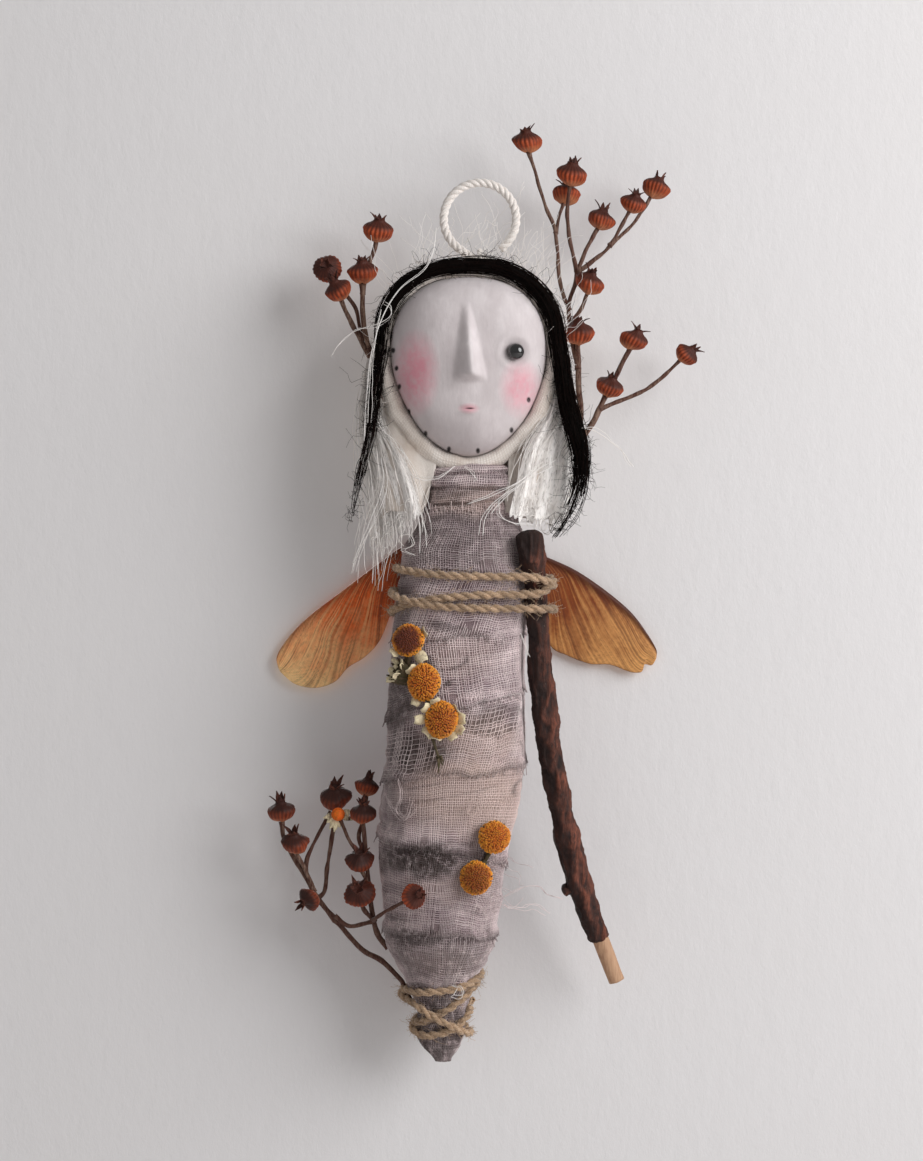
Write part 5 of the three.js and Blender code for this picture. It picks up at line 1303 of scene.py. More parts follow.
def ankle_line():
    turn = np.linspace(0, ANKLE_TURNS, 601)
    angle = math.pi / 2 - turn * TURN
    climbed = ease((turn - ANKLE_DOWN) / 0.4)
    sag = 1.4 * np.maximum(-np.sin(angle), 0)
    tilt = np.interp(turn, [0, 0.9, 1.3, 2.2, 2.8, 3.2, ANKLE_TURNS], [0, 0.6, 3.6, 2, 0, -3.6, -2])
    below = ANKLE_DROP * (np.minimum(turn, ANKLE_DOWN) - np.maximum(turn - ANKLE_DOWN - 0.2, 0))
    z = ANKLE_TOP - below - sag + tilt * np.cos(angle)
    lift = 0.75 * ANKLE_TWINE_RADIUS + climbed * ANKLE_TWINE_RADIUS
    centre = around(z, math.pi, STRIP_SWELL + 0.3)
    reach = np.where(z > FOOT_STEM_END - 2, 0.8 * FOOT_STEM_RADIUS + lift, 0)
    return even(taut(z, angle, STRIP_SWELL + lift, centre, reach), TWINE_STEP)


def jute(name, line, radius, fuzz, rng):
    """Spun string of two plies, with fibres that stand out from it."""
    plies, ply = rope(line, 0.9 * radius, 2, size("jute_pitch"), 0.4)
    yarns = [rope(route, ply, YARNS, YARN_PITCH, 0.7) for route in plies]
    routes = np.vstack([route for route, _ in yarns])
    lumps = 1 + 0.25 * noise(routes, 1.8, 3) + 0.2 * noise(routes, 0.6, 4)
    routes += 0.1 * np.stack([noise(routes, 0.9, i) for i in range(3)], axis=-1)
    plies = tubes(name + "_plies", [(routes, yarns[0][1] * lumps, rng.uniform(0.1, 1, len(routes)))], sides=4)
    at = rng.integers(2, len(line) - 3, fuzz)
    side, up = (direction[0, at] for direction in frames(line[None]))
    ahead = line[at + 2] - line[at - 2]
    ahead /= np.linalg.norm(ahead, axis=1, keepdims=True)
    angle = rng.uniform(0, TURN, (fuzz, 1))
    out = turned(angle, side, up)
    reach = np.minimum(rng.exponential(0.9, fuzz) + 0.5, 4.5)[:, None, None]
    step = np.linspace(0, 1, 6)[None, :, None]
    way = ahead * np.sign(rng.normal(size=(fuzz, 1))) * rng.uniform(0.4, 1, (fuzz, 1))
    fibres = (line[at][:, None] + 0.85 * radius * out[:, None]
              + reach * (step * way[:, None] + 0.4 * step ** 1.5 * out[:, None])
              + wander(rng, fuzz, 6, 1.0, 3) * reach * 0.22)
    hairs = tubes(name + "_fibres", [(fibres, 0.035, rng.uniform(0, 1, fuzz))])
    string = join([plies, hairs], name + "_string")
    spun = Finish(name, 0.95, Sheen_Weight=0.3, Specular_IOR_Level=0.15)
    strand = spun.noise((0.35, 0.35, 0.2), 5, roughness=0.7)
    tone = spun.times(spun.spread(strand, 0.3, 0.68), spun.spread(spun.attribute("tone"), 0, 1, 0.6, 1))
    patch = spun.spread(spun.noise(7, 2), 0.35, 0.7, 0, 0.35)
    base = spun.mix(patch, spun.mix(tone, "jute_dark", "jute_light"), "stain")
    spun.bump(strand, 0.22, 0.9)
    paint(string, spun.done(base))
    return string


class DOLL_OT_twine(Operator):
    """Model the string wound round the chest and round the foot"""
    bl_idname = "doll.twine"
    bl_label = "Twine"

    def execute(self, context):
        rng = np.random.default_rng(SEED + 4)
        for name, line, radius, fuzz in (("chest_twine", chest_line(), TWINE_RADIUS, 2200),
                                         ("ankle_twine", ankle_line(), 1.2 * ANKLE_TWINE_RADIUS, 1300)):
            settle(jute(name, line, radius, fuzz, rng), "doll", "jute", name)
        return {"FINISHED"}


# Hanging loop: height of the middle of its top and foot, with the radius of each, and the thread bar
LOOP_TOP, LOOP_FOOT, LOOP_RADIUS = (-7.0, 8.0), (-13.12, 3.0), 0.94
BAR_REACH, BAR_RADIUS = 2.1, 0.55
WING_PINS = {"left_wing": (-11.4, -80.6), "right_wing": (4.6, -80.6)}


class DOLL_OT_loop(Operator):
    """Model the twisted hanging loop, the thread bar that holds it and the stitches of the wings"""
    bl_idname = "doll.loop"
    bl_label = "Loop and stitches"

    def execute(self, context):
        cotton = Finish("loop_thread", 0.85, Sheen_Weight=0.3, Specular_IOR_Level=0.2)
        fibres = cotton.noise((0.3, 0.3, 0.3), 5)
        cotton.bump(fibres, 0.1)
        shade = cotton.times(cotton.spread(fibres, 0.3, 0.7), 0.6)
        finish = cotton.done(cotton.mix(shade, "white_thread", "cotton_shade"))
        lean = math.asin((LOOP_FOOT[1] - LOOP_TOP[1]) / (LOOP_TOP[0] - LOOP_FOOT[0]))
        arcs = []
        for (height, radius), start, end in ((LOOP_TOP, lean, math.pi - lean),
                                             (LOOP_FOOT, math.pi - lean, TURN + lean)):
            angle = np.linspace(start, end, 90)
            arcs.append(xyz(radius * np.cos(angle), 0, height + radius * np.sin(angle)))
        ring = spaced(np.vstack(arcs), 200)
        length = run_along(np.vstack(arcs))[-1]
        routes, ply = rope(ring, LOOP_RADIUS, 3, length / round(length / 5))
        loop = tubes("twisted_loop", [(routes, ply, [0.2, 0.5, 0.8])], sides=12)
        paint(loop, finish)
        settle(loop, "hanger", "thread", "hanging_loop")

        angle = np.linspace(-0.2, 1.2, 60) * math.pi
        crown = LOOP_FOOT[0] - LOOP_FOOT[1]
        bar = xyz(0, BAR_REACH * np.cos(angle), crown + BAR_REACH * np.sin(angle))
        routes, ply = rope(bar, BAR_RADIUS, 2, 2.2)
        stitch = tubes("loop_bar", [(routes, ply, [0.3, 0.7])], sides=10)
        paint(stitch, finish)
        settle(stitch, "doll", "thread", "loop_stitch")

        for wing, (x, z) in WING_PINS.items():
            low, high = (corner.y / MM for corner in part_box(wing + "_stitch"))
            pin = xyz(x, np.linspace(low, high - 0.5, 40), z)
            routes, ply = rope(pin, 0.52, 2, 2.0)
            angle = np.linspace(0, 2.4 * TURN, 80)
            coil_radius = 1.05 - 0.2 * np.sin(angle / 2.4)
            coil = xyz(x + coil_radius * np.cos(angle), high - 0.42 - 0.12 * np.cos(angle / 2.4),
                       z + coil_radius * np.sin(angle))
            knot = tubes(wing + "_knot", [(routes, ply, [0.2, 0.6]), (coil[None], 0.3, [0.4])], sides=8)
            paint(knot, finish)
            settle(knot, "doll", "thread", wing + "_stitch")
        return {"FINISHED"}


# Wings: leading and trailing edges from the root to the tip, as x and z
WINGS = {
    "left_wing": (
        [(-9.2, -79.4), (-12, -78.4), (-17.2, -79.1), (-22.4, -82.6), (-31.4, -89.4), (-38.2, -94.6),
         (-42.7, -99.1), (-45.6, -103.6), (-45.4, -106.4)],
        [(-9.2, -81.2), (-12.4, -83.6), (-17.2, -87), (-19.7, -93.5), (-22.4, -100.2), (-25.8, -104),
         (-29.6, -106.4), (-32.6, -109.6), (-37, -111), (-41.6, -110.1), (-44.9, -107.4)]),
    "right_wing": (
        [(2.4, -79.4), (5, -78.4), (9.4, -79.1), (14.7, -81.3), (21.5, -84.4), (28.2, -88.9), (33.9, -93.7),
         (37.2, -97.9), (39.7, -102), (39.9, -103.8)],
        [(2.4, -81.4), (5.6, -83.6), (9.6, -86.5), (12.5, -94.5), (15.9, -101.5), (19.9, -103.8),
         (24.9, -105.6), (29.4, -105.8), (33.9, -107.4), (36.5, -107.4), (37.1, -105.7), (38.8, -105.9),
         (39.8, -104.4)]),
}
WING_MIDDLE = 12.39
# Colours of each wing's middle and tip, and how dark its thick edge is; the left wing's brighter middle and
# tip are a painted glow for light coming through it from behind
WING_LOOKS = {"left_wing": ("backlit_wing_mid", "backlit_wing_tip", 0.5), "right_wing": ("wing_mid", "wing_tip", 1.0)}


def wing_finish(name, middle, tip, rim):
    """Dry seed wing: dark root, orange-brown middle, golden tip, and veins that fan from its thick edge."""
    wing = Finish(name, 0.55, Specular_IOR_Level=0.35, Sheen_Weight=0.1)
    along, across, vein, streak = (wing.attribute(key) for key in ("along", "across", "vein", "streak"))
    patch = wing.noise((4, 40, 4), 4)
    fine = wing.noise((0.7, 20, 0.7), 4)
    shift = wing.math("ADD", along, wing.spread(patch, 0.25, 0.75, -0.14, 0.14))
    base = wing.mix(wing.spread(shift, 0.12, 0.46), "wing_root", middle)
    outer = wing.math("ADD", shift, wing.times(across, 0.32))
    base = wing.mix(wing.spread(outer, 0.6, 1.15), base, tip)
    lit = wing.times(wing.spread(streak, 0.5, 0.95, 0, 0.6), wing.spread(along, 0.12, 0.45))
    base = wing.mix(lit, base, tip)
    base = wing.mix(wing.spread(streak, 0.42, 0.1, 0, 0.5), base, "vein")
    base = wing.mix(wing.spread(fine, 0.45, 0.72, 0, 0.25), base, "vein")
    base = wing.mix(wing.times(vein, 0.62), base, "vein")
    base = wing.mix(wing.spread(across, 0.16, 0.03, 0, rim), base, "vein")
    base = wing.mix(wing.spread(across, 0.985, 1.0, 0, 0.6), base, "vein")
    wing.bump(fine, 0.05, 0.6)
    return wing.done(base, Roughness=wing.spread(fine, 0.3, 0.7, 0.42, 0.65))


class DOLL_OT_wings(Operator):
    """Model the two winged seeds with their veins"""
    bl_idname = "doll.wings"
    bl_label = "Wings"

    def execute(self, context):
        for seed, (name, (leading, trailing)) in enumerate(WINGS.items()):
            wing, round_share, along = grid(name + "_seed", 150, 160)
            across = 1 - np.abs(2 * round_share - 1)
            front = np.where(round_share < 0.5, -1.0, 1.0)
            edges = [at_share(resample([(x, 0, z) for x, z in edge], 240), along)
                     for edge in (leading, trailing)]
            flat = edges[0] + (edges[1] - edges[0]) * across[:, None]
            start = along - 0.52 * across ** 0.6 + 0.008 * noise(flat, (5, 9, 5), seed)
            vein = np.zeros(len(along))
            for count, strength, sharp in ((39, 1.0, 0.55), (83, 0.7, 0.4)):
                near = 1 - 2 * np.abs((start * count) % 1 - 0.5)
                drawn = ease(0.6 + 1.2 * noise(xyz(start * count, 5 * along, 0), 1.3, seed + 5))
                vein = np.maximum(vein, strength * drawn * np.clip((near - sharp) / (1 - sharp), 0, 1) ** 2)
            vein *= ease(along / 0.15)
            streak = 0.5 + 0.6 * noise(xyz(start * 88, 4 * along, 0), 1.0, seed + 9)
            ends = np.clip(np.minimum(along / 0.05, (1 - along) / 0.02), 0, 1) ** 0.5
            thick = size("wing_thickness") * np.clip((1 - across) / 0.04, 0, 1) ** 0.5
            rib = 0.75 * np.exp(-((across - 0.045) / 0.04) ** 2) * (1 - 0.45 * along)
            root = 0.5 * (1 - ease(along / 0.25)) * np.sin(math.pi * across)
            sharp_edge = ends * np.clip(across / 0.02, 0, 1) ** 0.5
            half = sharp_edge * (thick / 2 + 0.5 * rib + 0.5 * root + 0.07 * vein)
            camber = 0.3 * np.sin(math.pi * across) * ease(along / 0.3)
            camber = camber + 0.22 * noise(flat, (8, 40, 8), seed + 3)
            flat[:, 1] = WING_MIDDLE + front * half - camber * ends
            place(wing, flat)
            for key, values in (("along", along), ("across", across), ("vein", vein), ("streak", streak)):
                write(wing, key, values)
            close_seam(wing)
            face_outwards(wing)
            paint(smooth(wing), wing_finish(name, *WING_LOOKS[name]))
            settle(wing, name, "seed_wing", name)
        return {"FINISHED"}


# Staff: height and depth of its knots, its bark, the heights between which it is lashed,
# and the broken side shoot's way from its place on the staff
STAFF_KNOTS = [(-84, 0.35), (-104, 0.3), (-118, 0.45), (-131, 0.35), (-143, 0.5), (-154, 0.7), (-161, 0.4)]
BARK_THICKNESS, LASHED_FOOT, LASHED_TOP = 1.05, -98, -83
STUB_FROM, STUB_WAY, STUB_RADIUS = LASHING + np.array([9.8, 8.6, -62.8]), np.array([-3.9, -0.6, -1.6]), 1.3


def limb(name, line, columns, rows, relief):
    """A closed tube along a line of points with radii; relief gives the height of its skin at a place."""
    piece, turn, along = grid(name, columns, rows)
    table = resample(line, 500)
    side, up = (direction[0] for direction in frames(table[None, :, :3]))
    middle, side, up = (at_share(part, along) for part in (table, side, up))
    angle = (TURN * turn)[:, None]
    out = turned(angle, side, up)
    height, close = relief(middle[:, :3] + out * middle[:, 3:], along, turn)
    radius = (middle[:, 3] + height) * close
    place(piece, middle[:, :3] + out * radius[:, None])
    write(piece, "relief", height)
    # Which way each point faces across x, read by the painted shade on the bark's left side
    write(piece, "side", out[:, 0])
    close_seam(piece)
    return smooth(piece)


class DOLL_OT_staff(Operator):
    """Model the staff: knobbly bark over wood that is peeled at its lower end"""
    bl_idname = "doll.staff"
    bl_label = "Staff"

    def execute(self, context):
        deep = size("bark_relief")

        def bark_relief(skin, along, _):
            ridges = 1 - 2.2 * np.abs(noise(skin, (1.5, 1.5, 6.5), 2))
            lumps = 0.6 * noise(skin, (2.4, 2.4, 3.5), 5)
            height = deep * (0.55 * ridges + lumps + 0.35 * noise(skin, 0.8, 6))
            for z, bulge in STAFF_KNOTS:
                height += bulge * np.exp(-((skin[:, 2] - z) / 2.0) ** 2) * (0.4 + noise(skin, 3.0, 8))
            lashed = (skin[:, 2] < LASHED_TOP) & (skin[:, 2] > LASHED_FOOT)
            height = np.where(lashed, np.clip(height, -1, 0.3), np.clip(height, -1, 0.7))
            torn = 0.012 + 0.01 * noise(skin, (1.2, 1.2, 60), 9)
            close = np.clip((1 - along) / torn, 0, 1) ** 0.5 * np.clip(along / 0.012, 0, 1) ** 0.4
            return height, close

        bark = limb("bark_sleeve", STAFF_LINE, 96, 380, bark_relief)
        shoot = [np.append(STUB_FROM + STUB_WAY * share, STUB_RADIUS * (1.15 - 0.2 * share))
                 for share in (0, 0.5, 1.0)]

        def stub_relief(skin, along, _):
            height = 0.6 * deep * (noise(skin, 1.4, 3) + 0.5 * noise(skin, 0.6, 4))
            return height, np.clip((1 - along) / 0.12, 0, 1) ** 0.4

        bark = join([bark, limb("stub", shoot, 40, 34, stub_relief)], "bark_sleeve")
        skin = Finish("bark", 0.8, Specular_IOR_Level=0.35)
        raised = skin.spread(skin.attribute("relief"), -0.28, 0.4)
        streaks = skin.noise((0.7, 0.7, 4.5), 6, roughness=0.7)
        flecks = skin.noise(0.55, 4)
        worn = skin.times(raised, skin.spread(streaks, 0.34, 0.66))
        base = skin.mix(worn, "bark_dark", "bark_red")
        base = skin.mix(skin.spread(skin.noise((3, 3, 9), 3), 0.5, 0.72, 0, 0.55), base, "bark_dark")
        base = skin.mix(skin.spread(flecks, 0.64, 0.74, 0, 0.5), base, "stem_grey")
        # Painted shade: the bark is darkened on its left side, turned away from the window light
        turned = skin.math("ADD", skin.attribute("side"),
                           skin.spread(skin.noise((2.5, 2.5, 5), 3), 0.3, 0.7, -0.4, 0.4))
        base = skin.mix(skin.spread(turned, 0.25, -0.2, 0, 0.82), base, "bark_dark")
        base = skin.mix(skin.times(skin.spot((10.4, -77.4), (3.8, 4.0)), 0.85), base, "bark_dark")
        skin.bump(streaks, 0.4, 0.9)
        skin.bump(flecks, 0.18, 0.7)
        paint(bark, skin.done(base, Roughness=skin.spread(streaks, 0.3, 0.7, 0.6, 0.9)))
        settle(bark, "staff", "bark", "staff_bark")

        inside = STAFF_LINE.copy()
        inside[:, 3] -= BARK_THICKNESS
        inside[-1, 3] = PEELED_RADIUS + 0.12
        tip = np.append(PEELED_END, PEELED_RADIUS)

        def wood_relief(skin, along, turn):
            facets = 0.1 * np.abs(np.sin(3 * TURN / 2 * turn + 5 * along))
            facets = facets + 0.06 * noise(skin, (0.8, 0.8, 6), 2)
            return facets, np.clip((1 - along) / 0.004, 0, 1) ** 0.3 * np.clip(along / 0.01, 0, 1) ** 0.5

        wood = limb("peeled_wood", np.vstack([inside, tip]), 32, 200, wood_relief)
        pale = Finish("peeled_wood", 0.6, Specular_IOR_Level=0.3)
        grain = pale.noise((0.35, 0.35, 6), 5)
        pale.bump(grain, 0.12, 0.6)
        knots = pale.spread(pale.noise((1.2, 1.2, 3), 3), 0.55, 0.75, 0, 0.35)
        tint = pale.mix(pale.spread(grain, 0.35, 0.65, 0.45, 0), "peeled", "jute_dark")
        paint(wood, pale.done(pale.mix(knots, tint, "bark_red")))
        settle(wood, "staff", "peeled_wood", "staff_wood")
        return {"FINISHED"}


# Left side of the hood where a sprig comes out from under it, 12 mm below the head's centre
BELOW_CENTRE = 12.0 / (HEAD_JAW + HOOD_GROW)
HOOD_SIDE = HEAD[0] - (HEAD_HALF_WIDTH + HOOD_GROW) * (1 - BELOW_CENTRE ** JAW_POWER) ** (1 / JAW_POWER)
FRONT_POD = on_front(-14.3, -154.8, 3.5)
FOOT_STEM = [tuple(around(z, math.pi, 1.3)) for z in (-179.5, -178, -176.5, -175)]
# Sprigs: stems as routes with a radius at each end; pods as place, the way they look, size and darkness
SPRIGS = {
    "sprig_right_tall": ([
        ([(8.7, 3, -72.5), (9.4, 3, -70), (15, 3, -64.5), (21.9, 2.5, -53), (21.9, 2, -43.6),
          (21.6, 1, -33)], 0.9, 0.75),
        ([(21.7, 1.6, -40), (20, 2, -31), (19.6, 2, -26), (21, 1.5, -21.5), (21.5, 1, -17.7)], 0.7, 0.6),
        ([(19.7, 2, -27), (17.7, 1, -20.3), (16.6, 0.6, -9.5), (14.4, 0.4, -3.8), (10.8, 0, 8)], 0.6, 0.5),
        ([(16.7, 0.6, -10), (17.6, 1.5, -6), (18.9, 3.5, -2.5)], 0.5, 0.5),
        ([(21.4, 1.2, -18.5), (19.5, 0, -9.7), (19.4, -0.8, -3), (20, -1, 1)], 0.6, 0.55),
        ([(21.4, 1.2, -18.5), (24, 2, -12.5), (26.4, 3, -8)], 0.6, 0.55),
        ([(21.6, 1.6, -18.5), (25, 2, -16), (28.8, 2, -12.5), (33.4, 2, -4.5)], 0.6, 0.5),
        ([(28.6, 2, -12.7), (34.5, 3, -7), (38.4, 4, -0.6)], 0.55, 0.5),
        ([(20.6, 1.8, -29.5), (22.8, 0.4, -26), (24, -1, -22.5)], 0.6, 0.55),
    ], [
        ((10.4, 0, 10.2), (-0.15, -0.2, 1), 1.02, 0.1), ((20.2, -1, 2.8), (0.12, -0.25, 1), 1.05, 0.1),
        ((19.1, 3.9, -0.9), (0.05, 0.2, 1), 1, 0.2), ((26.9, 3, -6.6), (0.25, -0.1, 1), 0.95, 0.35),
        ((34.1, 2, -3.2), (0.3, -0.3, 1), 0.9, 0.1), ((39.1, 4, 0.6), (0.35, 0, 1), 1, 0.3),
        ((24.1, -1.2, -21), (0.25, -0.3, 1), 1.02, 0.15), ((21.6, 0.6, -31.9), (0.05, -0.35, 1), 1.1, 0.1),
    ]),
    "sprig_right_low": ([
        ([(8.2, -1, -68.8), (9.2, -1, -66.5), (16.8, 0, -60.1), (22.8, 0.4, -55), (26.6, 1, -48.6),
          (28.2, 1, -45)], 0.9, 0.8),
        ([(28.2, 1.2, -45), (30.1, 2, -41.4), (33.4, 1, -35)], 0.7, 0.6),
        ([(26.4, 1, -49), (36.6, 3, -44.5), (43.4, 4, -38.9), (45, 4, -37.4)], 0.65, 0.5),
    ], [
        ((28.6, 0.6, -43.8), (0.35, -0.4, 0.9), 0.95, 0.15), ((34, 1, -33.4), (0.5, -0.2, 0.9), 0.98, 0.15),
        ((46, 4, -36.5), (0.75, -0.3, 0.6), 0.85, 0.3),
    ]),
    "sprig_left_high": ([
        ([(HOOD_SIDE - 0.9, 1.4, -49.5), (HOOD_SIDE - 1.25, 1.4, -48), (-23.6, 1.4, -38), (-25.6, 1.2, -31.4),
          (-26.1, 1, -21)], 0.85, 0.7),
        ([(-26, 1.6, -23.5), (-24.6, 2, -17), (-23.4, 2, -13.6), (-22.8, 1.4, -10.5)], 0.6, 0.55),
        ([(-23.4, 1.6, -39), (-27.2, 2, -32.2), (-30, 1, -26.5), (-31, -0.4, -23.5)], 0.75, 0.65),
        ([(-26.2, 2, -33.8), (-27.7, 2.4, -26.2), (-31.5, 2.8, -21.5), (-33.2, 3, -18.8)], 0.6, 0.5),
    ], [
        ((-22.5, 1, -9.3), (0.15, -0.3, 1), 1.05, 0.0), ((-25.9, 0.6, -18.5), (-0.05, -0.25, 1), 1.05, 0.1),
        ((-33.7, 3, -17.7), (-0.2, -0.95, 0.4), 0.98, 0.2), ((-31.3, -1, -22.6), (-0.45, -0.4, 0.8), 1, 0.2),
    ]),
    "sprig_low_outer": ([
        ([*FOOT_STEM, (-21.5, 2, -171.2), (-26.5, 1.4, -168), (-32, 0.6, -161.7)], 0.7, 0.75),
        ([(-31.9, 0.6, -161.8), (-35.7, 0, -156.9), (-39.7, 0, -150.3), (-43, 0, -144.1),
          (-43.8, 0, -140)], 0.75, 0.6),
        ([(-36.5, 0, -155.5), (-38.8, -1, -150), (-40.6, -2, -146.5)], 0.65, 0.55),
        ([(-35.7, 0.2, -157), (-34.3, 1.2, -155.5), (-33.9, 2, -150.9), (-32.5, 2, -142.5),
          (-32.2, 2, -137)], 0.6, 0.6),
        ([(-38.4, 0.3, -152.4), (-38.2, 1, -148), (-35.5, 2, -142.6), (-33, 2, -138)], 0.6, 0.5),
        ([(-35.6, 0, -157.2), (-36.6, -1.2, -157.2), (-37, -1.6, -157)], 0.5, 0.5),
    ], [
        ((-43.9, 0, -137.6), (-0.05, -0.25, 1), 1.12, 0.75),
        ((-40.8, -2, -144.3), (-0.1, -0.4, 0.9), 1.12, 0.7),
        ((-32.2, 2, -134.6), (0, -0.5, 0.85), 1.3, 0.85),
        ((-37.6, -2.2, -156.9), (-0.7, -0.6, -0.3), 0.95, 0.8),
    ]),
    "sprig_low_inner": ([
        ([(-20.2, 1, -168), tuple(around(-165.6, math.pi, 1.4)), (-23.5, -1.6, -161), (-24.6, -3.4, -152.5),
          (-25.2, -4, -144.8), (-25.7, -4, -139)], 0.8, 0.6),
        ([(-24.5, -3, -154), (-25.6, -5, -151), (-26.2, -5.6, -149.4)], 0.6, 0.55),
        ([(-23.3, -1.5, -161.6), (-25.2, -3.6, -159.4), (-26.2, -5.4, -157)], 0.6, 0.6),
        ([(-25, -3.8, -147.5), (-26.6, -3, -143), (-25.4, 0, -138), (-25, 0.5, -133)], 0.5, 0.5),
        ([(-24.9, -3.6, -149.5), (-28.1, -3, -144.9), (-30.2, -2, -140.6), (-31, -1, -138.8)], 0.55, 0.45),
        ([(-23.3, -1.4, -161.8), (-28.6, -2, -162.7), (-32, -1.8, -160.6)], 0.65, 0.5),
        ([(-23.3, -1.8, -161.4), (-23, -8, -160.4), (-19, -13, -157.4), tuple(FRONT_POD)], 0.6, 0.5),
    ], [
        ((-25.7, -4, -137.7), (0.1, -0.4, 0.9), 1.1, 0.85), ((-26.2, -6, -147.9), (0, -0.6, 0.8), 1.12, 0.85),
        ((-26.4, -6, -155.2), (-0.15, -0.8, 0.5), 1.25, 0.3), ((-25, 0.4, -132.2), (0.25, 0, 1), 1, 0.6),
        (tuple(FRONT_POD), (0.5, -0.85, 0.3), 1, 0.05),
    ]),
}
# Half profile of a seed pod from its stem to its open crown, as reach and height in pod radii
POD_PROFILE = np.array([
    (0, -0.84), (0.3, -0.81), (0.66, -0.64), (0.92, -0.36), (1.03, -0.06), (1.05, 0.1), (0.95, 0.25),
    (0.76, 0.4), (0.52, 0.52), (0.37, 0.66), (0.36, 0.8), (0.26, 0.78), (0.16, 0.68), (0, 0.64),
])
POD_RIBS = 21
BALL_PROFILE = np.array([(0, -1), (0.7, -0.72), (1, 0), (0.7, 0.72), (0, 1)])
# The small orange flower that is caught between the low pods: its place and the way it looks,
# the radius of its heart, and the angle of each petal with how pale it is
CAUGHT_FLOWER, FLOWER_RADIUS = (np.array([-31.2, -2.2, -138.2]), np.array([0.1, -0.95, -0.25])), 1.5
FLOWER_PETALS = [(-2.9, 0), (-2.5, 1), (-2.1, 0.7), (-1.8, 1), (-1.45, 0.9), (-0.4, 0), (0.2, 0.1)]


def unit(way):
    way = np.asarray(way, dtype=float)
    return way / np.linalg.norm(way)


def across_ways(way):
    """Two directions across a way that make a right-handed set with it."""
    side = unit(np.cross((0.1, 0.3, 1.0) if abs(way[1]) > 0.7 else (0.1, 1.0, 0.3), way))
    return side, np.cross(way, side)


def spun(name, profile, middle, way, columns, rows, shape=None):
    """A profile turned round a way; shape changes the radius and height from the turn and along shares."""
    piece, turn, along = grid(name, columns, rows)
    radius, height = at_share(resample(profile, 200), along).T
    if shape:
        radius, height = shape(radius, height, turn, along)
    side, up = across_ways(way)
    angle = TURN * turn
    ring = turned(angle[:, None], side, up)
    place(piece, middle + ring * radius[:, None] + height[:, None] * way)
    return piece, turn, height


def blades(name, rows, thickness, taper=0.7):
    """Small leaves, each a root, a way, the way its face looks, a length, half a width, a curl and a tone."""
    across, along = np.meshgrid(np.linspace(-1, 1, 5), np.linspace(0, 1, 7))
    across, along = across.ravel(), along.ravel()
    points, faces, tones = [], [], []
    for i, (root, way, out, length, half, curl, tone) in enumerate(rows):
        way, out = unit(way), unit(out)
        shape = np.sin(math.pi * (0.3 + taper * along)) ** 1.1
        bend = curl * along ** 2 - 0.35 * half * across ** 2
        points.append(root + way * (length * along)[:, None] + out * bend[:, None]
                      + np.cross(way, out) * (half * across * shape)[:, None])
        corner = i * 35 + np.array([5 * r + c for r in range(6) for c in range(4)])
        faces += np.stack([corner, corner + 1, corner + 6, corner + 5], axis=1).tolist()
        tones.append(np.full(35, tone))
    piece = new_piece(name, points, faces, tones)
    thicken(piece, thickness, 0)
    return smooth(piece)


def plant_finish(name, base, edge, roughness=0.7):
    """Dry leaf or stem: two colours by tone, with lengthwise streaks."""
    leaf = Finish(name, roughness, Specular_IOR_Level=0.3)
    streaks = leaf.noise((0.5, 0.5, 2.5), 5)
    flecks = leaf.noise(0.6, 4)
    share = leaf.times(leaf.attribute("tone"), leaf.spread(streaks, 0.4, 0.62))
    tint = leaf.mix(share, base, edge)
    leaf.bump(streaks, 0.2, 0.8)
    return leaf.done(leaf.mix(leaf.spread(flecks, 0.5, 0.75, 0, 0.5), tint, "bark_dark"))


def pod_finish():
    """Seed pod: orange-red ribs over dark grooves, darker above its rim."""
    shell = Finish("pod_shell", 0.62, Specular_IOR_Level=0.3)
    rib, height, dark = (shell.attribute(key) for key in ("rib", "height", "dark"))
    blotch = shell.noise(1.6, 4)
    base = shell.mix(shell.spread(rib, 0.0, 0.8, 0.3, 1), "pod_dark", "pod")
    base = shell.mix(shell.spread(height, -0.3, -0.75, 0, 0.55), base, "pod_pale")
    base = shell.mix(shell.spread(blotch, 0.45, 0.7, 0, 0.6), base, "pod_dark")
    base = shell.mix(shell.spread(height, 0.02, 0.34, 0, 0.88), base, "sepal")
    base = shell.mix(shell.times(dark, shell.spread(height, -0.55, 0.0, 0.1, 0.68)), base, "bark_dark")
    shell.bump(shell.noise(0.4, 4), 0.1, 0.7)
    return shell.done(base)


